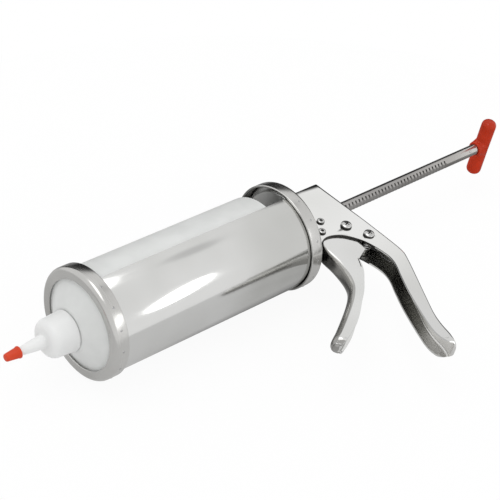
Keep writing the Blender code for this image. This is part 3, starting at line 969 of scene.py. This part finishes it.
@dataclass
class Grip:
    """The pressed frame with its handle, and the trigger. Outlines run from a place just inside the rear cap.

    Attributes:
        datum: Place that the outlines run from.
        face: Place of the rear cap's back face.
        half: Half the frame's width.
        sheet: Thickness of both sheets.
        bend: Bend radius of the frame.
        back: The frame's back, from its top to the handle's end.
        front: The frame's front edge, from the handle's end to the cap.
        chin: How far the side plates reach below the axis at the cap.
        nose: Length of the trigger's rounded end.
        tip: Middle of that end.
        trigger_front: The trigger's finger side, from its top to its end.
        trigger_low: Its rear edge, from its end to the notch.
        trigger_top: The rest of its outline.
    """

    datum: float = 0.189
    face: float = 0.191
    half: float = 0.0093
    sheet: float = 0.0015
    bend: float = 0.0025
    chin: float = 0.033
    nose: float = 0.006
    tip: Point = (-0.0424, -0.1049)
    pivot: Point = (0.042, -0.023)
    post: Point = (0.051, -0.039)
    hold: Point = (0.020, -0.019)
    stop: Point = (0.027, -0.010)
    drive: Point = (0.0442455, -0.012436)
    back: Profile = field(default_factory=lambda: [
        (0.0568, 0.0242), (0.0593, -0.0059), (0.0618, -0.0360), (0.0632, -0.0550), (0.0633, -0.0645),
        (0.0613, -0.0712), (0.0540, -0.0868), (0.0440, -0.1073), (0.0368, -0.1230), (0.0337, -0.1340),
        (0.0324, -0.1445), (0.0306, -0.1506), (0.0282, -0.1553),
    ])
    front: Profile = field(default_factory=lambda: [
        (0.0270, -0.1522), (0.0244, -0.1498), (0.0222, -0.1460), (0.0215, -0.1405), (0.0222, -0.1345),
        (0.0243, -0.1270), (0.0290, -0.1130), (0.0345, -0.0985), (0.0412, -0.0840),
        (0.0460, -0.0745), (0.0480, -0.0680), (0.0482, -0.0620),
        (0.0465, -0.0530), (0.0430, -0.0430), (0.0380, -0.0355), (0.0325, -0.0298), (0.0260, -0.0262),
        (0.0190, -0.0250), (0.0130, -0.0268), (0.0085, -0.0310),
    ])
    trigger_front: Profile = field(default_factory=lambda: [
        (0.0300, 0.0050), (0.0210, -0.0100), (0.0135, -0.0235), (0.0105, -0.0330), (0.0100, -0.0450),
        (0.0082, -0.0560), (0.0058, -0.0640), (0.0018, -0.0710), (-0.0050, -0.0775), (-0.0140, -0.0840),
        (-0.0260, -0.0915), (-0.0370, -0.0980), (-0.0455, -0.1025), (-0.0478, -0.1052),
    ])
    trigger_low: Profile = field(default_factory=lambda: [
        (-0.0465, -0.1088), (-0.0415, -0.1098), (-0.0320, -0.1063), (-0.0220, -0.1015), (-0.0130, -0.0955),
        (-0.0030, -0.0875), (0.0060, -0.0805), (0.0140, -0.0725), (0.0205, -0.0655), (0.0247, -0.0590),
        (0.0268, -0.0535),
    ])
    trigger_top: Profile = field(default_factory=lambda: [
        (0.0390, -0.0480), (0.0395, -0.0400), (0.0440, -0.0300), (0.0480, -0.0230), (0.0490, -0.0120),
        (0.0480, -0.0078), (0.0370, -0.0078), (0.0300, -0.0150), (0.0250, -0.0225), (0.0135, -0.0225),
    ])

    def placed(self, points: Profile) -> Profile:
        """Moves an outline from the datum to the part's frame."""
        return [(self.datum + x, y) for x, y in points]

    def at(self, point: Point) -> Point:
        """One point in the part's frame."""
        return (self.datum + point[0], point[1])

    def build_frame(self) -> None:
        """Presses the frame with its handle."""
        path = flowing(self.placed(self.back), 5)
        stations = []
        low = path[-1][1]
        for x, y in path:
            near_end = max(0.0, 1 - (y - low) / 0.045)
            bend = self.bend + (self.half * 0.5 - self.bend) * near_end ** 1.2
            bend += 0.0017 * min(1.0, max(0.0, (y + 0.025) / 0.045))
            high = x - self.datum + 0.012 if y > -0.07 else 0.030
            stations.append(Station(Vector((x, y)), Vector((-1.0, 0.0)), self.half, high, bend))
        top = stations[0]
        above = Station(top.base + Vector((-0.0002, 0.002)), top.inward, top.half, top.height, top.bend)
        mouth = self.face + GAP
        outside = [(x + 0.002, y) for x, y in path[:-6]]
        outside += self.placed([(0.036, low - 0.002), (0.029, low - 0.0015)])
        edge = flowing(self.placed(self.front), 5)
        side_view = [(path[0][0] + 0.002, self.back[0][1])] + outside[1:]
        side_view += edge + [(mouth, -self.chin), (mouth, self.back[0][1])]
        piece = pressed_channel(
            "grip_frame", [above] + stations, self.sheet, side_view, self.half, PRESSED_STEEL, Body.GUN, "frame_shell"
        )
        round_end(piece, path[-1], (-0.25, -1.0), self.half, 0.008, 0.02)
        for point, radius in ((self.pivot, 0.0023), (self.post, 0.0023), (self.hold, 0.0019), (self.stop, 0.0019)):
            drill(piece, self.at(point), radius, self.half + 0.002)
        bore(piece, self.datum + 0.059, 0.0053, 0.02, 64)
        for side in (-1, 1):
            foot = [
                (mouth - 0.0001, -0.018), (mouth + self.sheet, -0.018), (mouth + self.sheet, 0.018),
                (mouth - 0.0001, 0.018),
            ]
            low_z, high_z = sorted((side * (self.half - 0.0005), side * (self.half + 0.01)))
            carve(piece, block(foot, low_z, high_z), "UNION")
        soften(piece, 0.00014)
        web = self.half - self.sheet * 0.9
        # Faces inside the channel get the inside steel, with its painted shade towards the top.
        mark(piece, INSIDE_STEEL, lambda face: (
            abs(face.center.z) < web and face.center.x > mouth + 0.002
            and (face.normal.z * face.center.z < -0.002 or face.normal.x < -0.3)
        ))
        # Painted shade: the side plates' downward-facing edges near the barrel are near black.
        mark(piece, PAINTED_SHADE_STEEL, lambda face: (
            abs(face.normal.z) < 0.5 and abs(face.center.z) > web and face.normal.y < -0.2 and face.center.y > -0.05
        ))
        shade(piece)

    def build_trigger(self) -> None:
        """Presses the trigger."""
        path = flowing(self.placed(self.trigger_front), 5)
        inside = self.half - self.sheet - GAP
        stations = []
        for i, (x, y) in enumerate(path):
            before = Vector(path[max(i - 9, 0)])
            after = Vector(path[min(i + 9, len(path) - 1)])
            along = (after - before).normalized()
            inward = Vector((-along.y, along.x))
            share = i / (len(path) - 1)
            bend = 0.0034 + (inside * 0.9 - 0.0034) * min(1.0, max(0.0, share - 0.25) / 0.4)
            base = Vector((x, y)) - inward * (0.25 * (bend - 0.0034))
            nose = min(1.0, (Vector(path[-1]) - Vector((x, y))).length / self.nose)
            half = inside * max(0.6, sqrt(1 - (1 - nose) ** 2))
            stations.append(Station(base, inward, half, 0.042 - 0.020 * share, min(bend, half * 0.9)))
        far = 0.001
        outside = [
            (s.base.x - s.inward.x * far, s.base.y - s.inward.y * far) for s in stations if s.base.y < -0.0205
        ]
        low_edge = flowing(self.placed(self.trigger_low), 4)
        side_view = outside + low_edge + self.placed(self.trigger_top)
        piece = pressed_channel(
            "trigger_lever", stations, self.sheet, side_view, inside, TRIGGER_STEEL, Body.TRIGGER, "trigger"
        )
        tip = bmesh.new()
        slant = atan2(path[-1][1] - path[-9][1], path[-1][0] - path[-9][0])
        place = Matrix.Translation((*self.at(self.tip), 0)) @ Matrix.Rotation(slant, 4, "Z")
        bmesh.ops.create_uvsphere(
            tip, u_segments=48, v_segments=32, radius=1.0,
            matrix=place @ Matrix.Diagonal((self.nose, self.nose * 0.64, inside * 0.84, 1)),
        )
        carve(piece, tip, "UNION")
        drill(piece, self.at(self.pivot), 0.0035, self.half)
        drill(piece, self.at(self.drive), 0.0018, self.half)
        slit = self.placed([(0.0262, -0.0525), (0.0268, -0.0530), (0.0228, -0.0602), (0.0222, -0.0600)])
        carve(piece, block(slit, -self.half, self.half))
        soften(piece, 0.0002)
        # Painted shade: the faces turned towards -X, the finger side, get the darker steel.
        mark(piece, WEB_PAINTED_SHADE, lambda face: face.normal.x < -0.2 and abs(face.normal.z) < 0.9)
        shade(piece)

    def build(self) -> None:
        """Makes both pieces."""
        self.build_frame()
        self.build_trigger()


@dataclass
class Fasteners:
    """Screws and rivets across the frame.

    Attributes:
        seat: Height of the frame's side, where heads sit.
        shank: Radius of the two screws.
        head_radius: Radius of their heads.
        head_height: Height of their heads.
    """

    seat: float = 0.0096
    shank: float = 0.002
    head_radius: float = 0.0043
    head_height: float = 0.0022

    def screw(self, name: str, at: Point, node: str) -> None:
        """A domed screw with a cross recess.

        Args:
            name: The piece's name.
            at: Its place across the frame.
            node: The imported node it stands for.
        """
        rim = self.head_height * 0.3
        profile = [(-self.seat - 0.0033, 0), (-self.seat - 0.0033, self.shank - 0.0003)]
        profile += [(-self.seat - 0.0030, self.shank), (self.seat, self.shank), (self.seat, self.head_radius - 0.0001)]
        profile += [(self.seat + rim * 0.5, self.head_radius)]
        profile += [(self.seat + rim + h, r) for h, r in dome(self.head_radius * 0.98, self.head_height - rim, 8)]
        profile[-1] = (profile[-1][0], 0.0)
        build = spun(profile, False, 48)
        turn_to(build, (*at, 0), (0, 0, 1))
        piece = add_piece(name, build, PLATED, Body.GUN, (node,))
        for angle in (0.35, 0.35 + pi / 2):
            arm = self.head_radius * 0.5
            slot = [(-arm, -0.0005), (arm, -0.0005), (arm, 0.0005), (-arm, 0.0005)]
            tool = block(slot, self.seat + self.head_height - 0.0011, self.seat + self.head_height + 0.001)
            bmesh.ops.rotate(tool, verts=tool.verts, matrix=Matrix.Rotation(angle, 3, "Z"))
            bmesh.ops.translate(tool, verts=tool.verts, vec=(*at, 0))
            carve(piece, tool)
        middle = self.head_radius * 0.62
        # Painted shade: the head's rim, the recess walls and the floor of the cross recess are near black.
        mark(piece, PAINTED_SHADE_STEEL, lambda face: abs(face.normal.z) < 0.5 or (
            face.center.z > self.seat and abs(face.normal.z) > 0.999
            and hypot(face.center.x - at[0], face.center.y - at[1]) < middle
        ))
        shade(piece, 35)

    def rivet(self, name: str, at: Point, node: str) -> None:
        """A small domed rivet with a dimpled head on each side.

        Args:
            name: The piece's name.
            at: Its place across the frame.
            node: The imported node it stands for.
        """
        head = [
            (self.seat, 0.0016), (self.seat, 0.0029), (self.seat + 0.0005, 0.003), (self.seat + 0.0010, 0.0027),
            (self.seat + 0.0014, 0.0019), (self.seat + 0.0013, 0.0013), (self.seat + 0.0006, 0.0009),
            (self.seat + 0.0005, 0.0),
        ]
        profile = [(-x, r) for x, r in head[::-1]] + head
        build = spun(profile, False, 40)
        turn_to(build, (*at, 0), (0, 0, 1))
        piece = add_piece(name, build, PLATED, Body.GUN, (node,))
        # Painted shade: the rivet's rim and the dimple in the middle of each head are near black.
        mark(piece, PAINTED_SHADE_STEEL, lambda face: abs(face.normal.z) < 0.7 or (
            hypot(face.center.x - at[0], face.center.y - at[1]) < 0.0009
        ))
        shade(piece, 45)

    def build(self, grip: Grip) -> None:
        """Makes the screws and rivets at the grip's places."""
        self.screw("pivot_screw_head", grip.at(grip.pivot), "pivot_screw")
        self.screw("post_screw_head", grip.at(grip.post), "post_screw")
        self.rivet("hold_rivet", grip.at(grip.hold), "hold_pawl_rivet")
        self.rivet("stop_rivet_head", grip.at(grip.stop), "stop_rivet")


@dataclass
class Rod:
    """The ratchet rod with its pin and its T-handle.

    Attributes:
        radius: Radius of the rod.
        roll: How far the rod is turned from the frame's plane.
        start: Place of its front end.
        end: Place of its rear end.
        teeth_from: Place of the first tooth.
        pitch: Distance between teeth.
        depth: Depth of a tooth.
        count: Number of teeth.
        bar_x: Place of the T-bar.
        bar_radius: Its radius.
        bar_half: Half its length.
        bar_shift: How far its middle is off the rod's axis.
        hub_radius: Radius of its hub.
        hub_front: Place of the hub's mouth.
        grain: Size of the blend's voxels.
    """

    radius: float = 0.0045
    roll: float = radians(-1.5)
    start: float = 0.1862
    end: float = 0.4153
    teeth_from: float = 0.208
    pitch: float = 0.0037
    depth: float = 0.0018
    count: int = 44
    bar_x: float = 0.4178
    bar_radius: float = 0.00625
    bar_half: float = 0.0269
    bar_shift: float = -0.0007
    hub_radius: float = 0.0068
    hub_front: float = 0.4083
    grain: float = 0.00045

    def section(self, depth: float, sides: int = 48) -> Profile:
        """The rod's section where it is cut to a depth on its -Y side.

        Args:
            depth: How deep the cut is.
            sides: Points round the section.

        Returns:
            (Y, Z) points.
        """
        made = []
        for k in range(sides):
            a = tau * k / sides
            made.append((max(-self.radius * cos(a), depth - self.radius), self.radius * sin(a)))
        return made

    def build_rod(self) -> None:
        """Lofts the rod along its teeth."""
        stations = [(self.start, 0.0), (self.teeth_from - 0.0012, 0.0)]
        for i in range(self.count):
            root = self.teeth_from + i * self.pitch
            stations += [
                (root - 0.0007, 0.0), (root - 0.0001, self.depth * 0.92), (root + 0.0002, self.depth),
                (root + 0.0008, self.depth * 0.9), (root + self.pitch * 0.55, self.depth * 0.35),
            ]
        stations += [(self.teeth_from + self.count * self.pitch, 0.0), (self.end, 0.0)]
        build = bmesh.new()
        last: list = []
        ends = []
        for x, depth in stations:
            verts = [build.verts.new((x, y, z)) for y, z in self.section(depth)]
            edges = [build.edges.new((verts[k - 1], verts[k])) for k in range(len(verts))]
            if last:
                bmesh.ops.bridge_loops(build, edges=last + edges)
            last = edges
            ends.append(verts)
        build.faces.new(ends[0])
        build.faces.new(ends[-1])
        tidy(build)
        piece = add_piece("toothed_rod", build, ROD_STEEL, Body.ROD, ("ratchet_rod",))
        bore(piece, self.start, 0.0023, 0.0246, 32)
        # Painted shade: the tooth gullets on the -Y side are near black.
        first = self.teeth_from - 0.0007
        mark(piece, PAINTED_SHADE_STEEL, lambda face: (
            0 < face.center.x - first < self.count * self.pitch
            and (face.center.x - first) % self.pitch < self.pitch * 0.42
            and face.center.y < -self.radius * 0.35
        ))
        self.rolled(piece)
        shade(piece, 28)

    def rolled(self, piece: bpy.types.Object) -> None:
        """Turns a piece's mesh about the barrel axis by the rod's roll."""
        piece.data.transform(Matrix.Rotation(self.roll, 4, "X"))

    def build_handle(self) -> None:
        """Moulds the T-handle: bar and hub run into each other through a wide fillet."""
        end = 0.0046
        profile = rounded([
            (-self.bar_half, 0, 0), (-self.bar_half, self.bar_radius, end), (0, self.bar_radius * 0.97, 0),
            (self.bar_half, self.bar_radius, end), (self.bar_half, 0, 0),
        ], 8, closed=False)
        bar = spun(profile, False, 64)
        turn_to(bar, (self.bar_x, 0, self.bar_shift), (0, 0, 1))
        reach = self.bar_x - self.hub_front
        hub = spun(rounded([
            (self.hub_front, 0, 0), (self.hub_front, self.hub_radius * 0.9, 0.0008),
            (self.hub_front + reach * 0.35, self.hub_radius, 0.004), (self.bar_x, self.hub_radius * 1.6, 0),
            (self.bar_x, 0, 0),
        ], 6, closed=False), False, 64)
        for vert in hub.verts:
            vert.co.y *= 1 - 0.42 * max(0.0, (vert.co.x - self.hub_front) / reach - 0.2)
        piece = add_piece("t_bar", bar, HANDLE_RED, Body.ROD, ("t_handle",))
        carve(piece, hub, "UNION")
        blend = piece.modifiers.new("blend", "REMESH")
        blend.mode = "VOXEL"
        blend.voxel_size = self.grain
        bake(piece)
        relax = piece.modifiers.new("relax", "SMOOTH")
        relax.factor = 0.5
        relax.iterations = 14
        bake(piece)
        bore(piece, self.end + GAP - 0.01, self.radius + GAP, 0.02, 48)
        self.rolled(piece)
        shade(piece, 50)

    def build_pin(self) -> None:
        """Makes the small pin through the rod."""
        reach = self.radius + 0.0005
        profile = rounded([
            (-reach, 0, 0), (-reach, 0.001, 0.0003), (reach, 0.001, 0.0003), (reach, 0, 0)
        ], 3, closed=False)
        build = spun(profile, False, 24)
        turn = radians(45)
        turn_to(build, (self.end - 0.0165, 0, 0), (0, -sin(turn), cos(turn)))
        piece = add_piece("rod_cross_pin", build, PLATED, Body.ROD, ("rod_pin",))
        self.rolled(piece)
        shade(piece)

    def build(self) -> None:
        """Makes the three pieces."""
        self.build_rod()
        self.build_handle()
        self.build_pin()


@dataclass
class Mechanism:
    """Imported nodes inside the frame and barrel, which keep their shape and get their finish.

    Attributes:
        finishes: Finish of each kept node.
    """

    finishes: dict[str, Metal] = field(default_factory=lambda: {
        "guide_bush": PLATED, "pivot_nut": PLATED, "pivot_sleeve": PLATED, "post_nut": PLATED,
        "post_sleeve": PLATED, "drive_pawl": PLATED, "drive_pawl_pin": PLATED, "hold_pawl": PLATED,
        "drive_pawl_spring": WIRE, "hold_pawl_spring": WIRE, "trigger_spring": WIRE, "pusher_disc": DISC_STEEL,
        "pusher_washer": PLATED, "pusher_screw": PLATED, "foot_rivet_1": PLATED, "foot_rivet_2": PLATED,
        "foot_rivet_3": PLATED, "foot_rivet_4": PLATED,
    })

    def dress(self) -> None:
        """Gives each kept node its finish."""
        for name, finish in self.finishes.items():
            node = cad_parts[name]
            node.data.materials.clear()
            node.data.materials.append(finish.material())
            log.info("%s: finish %s", name, finish.name)


@dataclass(frozen=True)
class Patch:
    """A round place of the tent with a brightness of its own.

    Attributes:
        heading: Its heading from +X towards +Y.
        rise: Its height over the horizon.
        inner: Angle from its middle within which it is full.
        outer: Angle beyond which it has faded.
        level: Its brightness.
    """

    heading: float
    rise: float
    inner: float
    outer: float
    level: float

    @property
    def direction(self) -> tuple[float, float, float]:
        """The way to its middle."""
        return (cos(self.heading) * cos(self.rise), sin(self.heading) * cos(self.rise), sin(self.rise))


@dataclass(frozen=True)
class Lamp:
    """A soft lamp.

    Attributes:
        name: Its name.
        spot: Where it hangs.
        target: What it faces.
        size: Its width and height.
        power: Its power in watts.
        mirrored: How strongly reflections show it.
        turn: Its turn about the way it faces.
    """

    name: str
    spot: tuple[float, float, float]
    target: tuple[float, float, float]
    size: Point
    power: float
    mirrored: float
    turn: float


@dataclass
class Studio:
    """Table, world, lamps and camera.

    Attributes:
        eye: Where the camera stands.
        heading: Its heading from +X towards +Y.
        pitch: How far it looks down.
        roll: Its roll about its view.
        focal: Focal length in pixels of the photograph.
        width: Width of the photograph in pixels.
        table_centre: Middle of the table.
        table_radius: Size of the table.
        table_height: Place of the table.
        table_mirrored: Brightness of the table's painted glow in reflections, near the gun.
        fade: Where it starts to fade in them, and where it has faded, along the view.
        tent: Brightness of the tent in reflections.
        fill: Brightness of the tent as light on the gun.
        patches: Darker places of the tent.
        lamps: The lamps.
    """

    eye: tuple[float, float, float] = (-0.5121, -0.5300, 0.7424)
    heading: float = radians(38.44)
    pitch: float = radians(41.09)
    roll: float = radians(15.59)
    focal: float = 1537.2
    width: int = 500
    table_centre: Point = (0.10, -0.30)
    table_radius: float = 0.62
    table_height: float = -0.042
    table_mirrored: float = 0.62
    fade: Point = (0.13, 0.27)
    tent: float = 0.98
    fill: float = 0.90
    patches: tuple[Patch, ...] = (
        Patch(radians(15), radians(57), radians(2), radians(9), 0.72),
        Patch(radians(44), radians(-8), radians(32), radians(40), 0.02),
    )
    lamps: tuple[Lamp, ...] = (
        Lamp("side_box", (0.45, -0.76, 0.47), (0.03, -0.02, 0.02), (0.42, 0.26), 0.52, 1.0, radians(30)),
        Lamp("overhead", (-0.1, 0.2, 1.3), (0.17, -0.03, 0.0), (1.2, 0.8), 4.0, 0.0, 0.0),
    )

    @cached_property
    def view(self) -> Matrix:
        """The camera's matrix."""
        look = Vector((
            cos(self.heading) * cos(self.pitch), sin(self.heading) * cos(self.pitch), -sin(self.pitch)
        ))
        level = Vector((look.y, -look.x, 0)).normalized()
        above = level.cross(look)
        right = level * cos(self.roll) + above * sin(self.roll)
        top = above * cos(self.roll) - level * sin(self.roll)
        turn = Matrix((right, top, -look)).transposed().to_4x4()
        return Matrix.Translation(self.eye) @ turn

    def build_camera(self) -> None:
        """Sets up the camera at the photograph's view."""
        lens = bpy.data.cameras.new("camera")
        lens.sensor_width = 36
        lens.lens = self.focal * lens.sensor_width / self.width
        lens.dof.use_dof = False
        camera = bpy.data.objects.new("camera", lens)
        camera.matrix_world = self.view
        bpy.context.scene.collection.objects.link(camera)
        bpy.context.scene.camera = camera

    def build_table(self) -> None:
        """Makes the pale table, which is white to the camera but keeps a faint shadow, and has a painted glow in
        reflections.
        """
        build = bmesh.new()
        place = Matrix.Translation((*self.table_centre, self.table_height))
        bmesh.ops.create_circle(build, cap_ends=True, segments=96, radius=self.table_radius, matrix=place)
        mesh = bpy.data.meshes.new("table")
        build.to_mesh(mesh)
        build.free()
        table = bpy.data.objects.new("table", mesh)
        bpy.context.scene.collection.objects.link(table)
        graph = Graph("table_white")
        graph.shader.inputs["Base Color"].default_value = (0.88, 0.88, 0.88, 1)
        graph.shader.inputs["Roughness"].default_value = 0.9
        rays = graph.add("ShaderNodeLightPath")
        last = graph.shader.outputs[0]
        # Camera rays see the table white; glossy rays see a painted glow.
        for ray, share in (("Is Camera Ray", 0.93), ("Is Glossy Ray", 0.75)):
            glow = graph.add("ShaderNodeEmission", Strength=1.0)
            part = graph.add("ShaderNodeMath", operation="MULTIPLY")
            graph.link(rays.outputs[ray], part.inputs[0])
            part.inputs[1].default_value = share
            mix = graph.add("ShaderNodeMixShader")
            graph.link(part.outputs[0], mix.inputs["Fac"])
            graph.link(last, mix.inputs[1])
            graph.link(glow.outputs[0], mix.inputs[2])
            last = mix.outputs[0]
        graph.link(last, graph.tree.nodes["Material Output"].inputs["Surface"])
        graph.link(self.painted_glow_level(graph), glow.inputs["Strength"])
        mesh.materials.append(graph.material)

    def painted_glow_level(self, graph: Graph) -> bpy.types.NodeSocket:
        """The table's painted glow in reflections: it fades along the view, and a painted shadow darkens it under the
        barrel.

        Args:
            graph: The table's material.

        Returns:
            The brightness socket.
        """
        def times(first: bpy.types.NodeSocket, second: bpy.types.NodeSocket) -> bpy.types.NodeSocket:
            """The product of two sockets."""
            node = graph.add("ShaderNodeMath", operation="MULTIPLY")
            graph.link(first, node.inputs[0])
            graph.link(second, node.inputs[1])
            return node.outputs["Value"]

        def change(value: bpy.types.NodeSocket, span: Point, low: float, high: float) -> bpy.types.NodeSocket:
            """A socket's change from low to high over a span."""
            node = graph.add("ShaderNodeMapRange", From_Min=span[0], From_Max=span[1], To_Min=low, To_Max=high)
            graph.link(value, node.inputs["Value"])
            return node.outputs["Result"]

        far = graph.add("ShaderNodeVectorMath", operation="DOT_PRODUCT")
        graph.link(graph.stretched((1.0, 1.0, 1.0)), far.inputs[0])
        far.inputs[1].default_value = (cos(self.heading), sin(self.heading), 0.0)
        split = graph.add("ShaderNodeSeparateXYZ")
        graph.link(graph.stretched((1.0, 1.0, 1.0)), split.inputs[0])
        # Painted shadow: the glow falls to a tenth past X = 0.09 and Y = -0.015, under the barrel.
        behind = change(split.outputs["X"], (0.03, 0.09), 0.0, 1.0)
        beside = change(split.outputs["Y"], (-0.045, -0.015), 0.0, 1.0)
        left = change(times(behind, beside), (0.0, 1.0), 1.0, 0.1)
        return times(change(far.outputs["Value"], self.fade, self.table_mirrored, 0.03), left)

    def build_world(self) -> None:
        """Makes the white tent, with the dark openings in it that the metal mirrors."""
        world = bpy.data.worlds.new("studio")
        bpy.context.scene.world = world
        world.use_nodes = True
        tree = world.node_tree
        tree.nodes.clear()
        new = tree.nodes.new
        link = tree.links.new
        place = new("ShaderNodeTexCoord")
        rays = new("ShaderNodeLightPath")

        def colour(level: float) -> tuple[float, float, float, float]:
            """A grey as a socket's value."""
            return (level, level, level, 1)

        last = new("ShaderNodeRGB").outputs[0]
        last.default_value = colour(self.tent)
        for patch in self.patches:
            near = new("ShaderNodeVectorMath")
            near.operation = "DOT_PRODUCT"
            link(place.outputs["Generated"], near.inputs[0])
            near.inputs[1].default_value = patch.direction
            edge = new("ShaderNodeMapRange")
            edge.interpolation_type = "SMOOTHSTEP"
            edge.inputs["From Min"].default_value = cos(patch.outer)
            edge.inputs["From Max"].default_value = cos(patch.inner)
            link(near.outputs["Value"], edge.inputs["Value"])
            mix = new("ShaderNodeMixRGB")
            link(edge.outputs["Result"], mix.inputs["Fac"])
            link(last, mix.inputs["Color1"])
            mix.inputs["Color2"].default_value = colour(patch.level)
            last = mix.outputs["Color"]
        level = new("ShaderNodeMixRGB")
        link(rays.outputs["Is Glossy Ray"], level.inputs["Fac"])
        level.inputs["Color1"].default_value = colour(self.fill)
        link(last, level.inputs["Color2"])
        backdrop = new("ShaderNodeMixRGB")
        backdrop.inputs["Color2"].default_value = colour(1.0)
        link(rays.outputs["Is Camera Ray"], backdrop.inputs["Fac"])
        link(level.outputs["Color"], backdrop.inputs["Color1"])
        sky = new("ShaderNodeBackground")
        link(backdrop.outputs["Color"], sky.inputs["Color"])
        out = new("ShaderNodeOutputWorld")
        link(sky.outputs[0], out.inputs["Surface"])

    def hang(self, lamp: Lamp) -> None:
        """Hangs a lamp over the gun.

        Args:
            lamp: The lamp.
        """
        light = bpy.data.lights.new(lamp.name, "AREA")
        light.shape = "ELLIPSE"
        light.size, light.size_y = lamp.size
        light.energy = lamp.power
        light.specular_factor = lamp.mirrored
        holder = bpy.data.objects.new(lamp.name, light)
        spot = Vector(lamp.spot)
        turn = (spot - Vector(lamp.target)).to_track_quat("Z", "Y").to_matrix().to_4x4()
        holder.matrix_world = Matrix.Translation(spot) @ turn @ Matrix.Rotation(lamp.turn, 4, "Z")
        bpy.context.scene.collection.objects.link(holder)

    def build(self) -> None:
        """Makes everything round the gun."""
        bpy.context.scene.view_settings.view_transform = "Standard"
        self.build_camera()
        self.build_table()
        self.build_world()
        for lamp in self.lamps:
            self.hang(lamp)


def main() -> None:
    """Builds every class in order."""
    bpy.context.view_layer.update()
    Studio().build()
    Barrel().build()
    TubeSet().build()
    grip = Grip()
    grip.build()
    Fasteners().build(grip)
    Rod().build()
    Mechanism().dress()


if __name__ == "__main__":
    main()
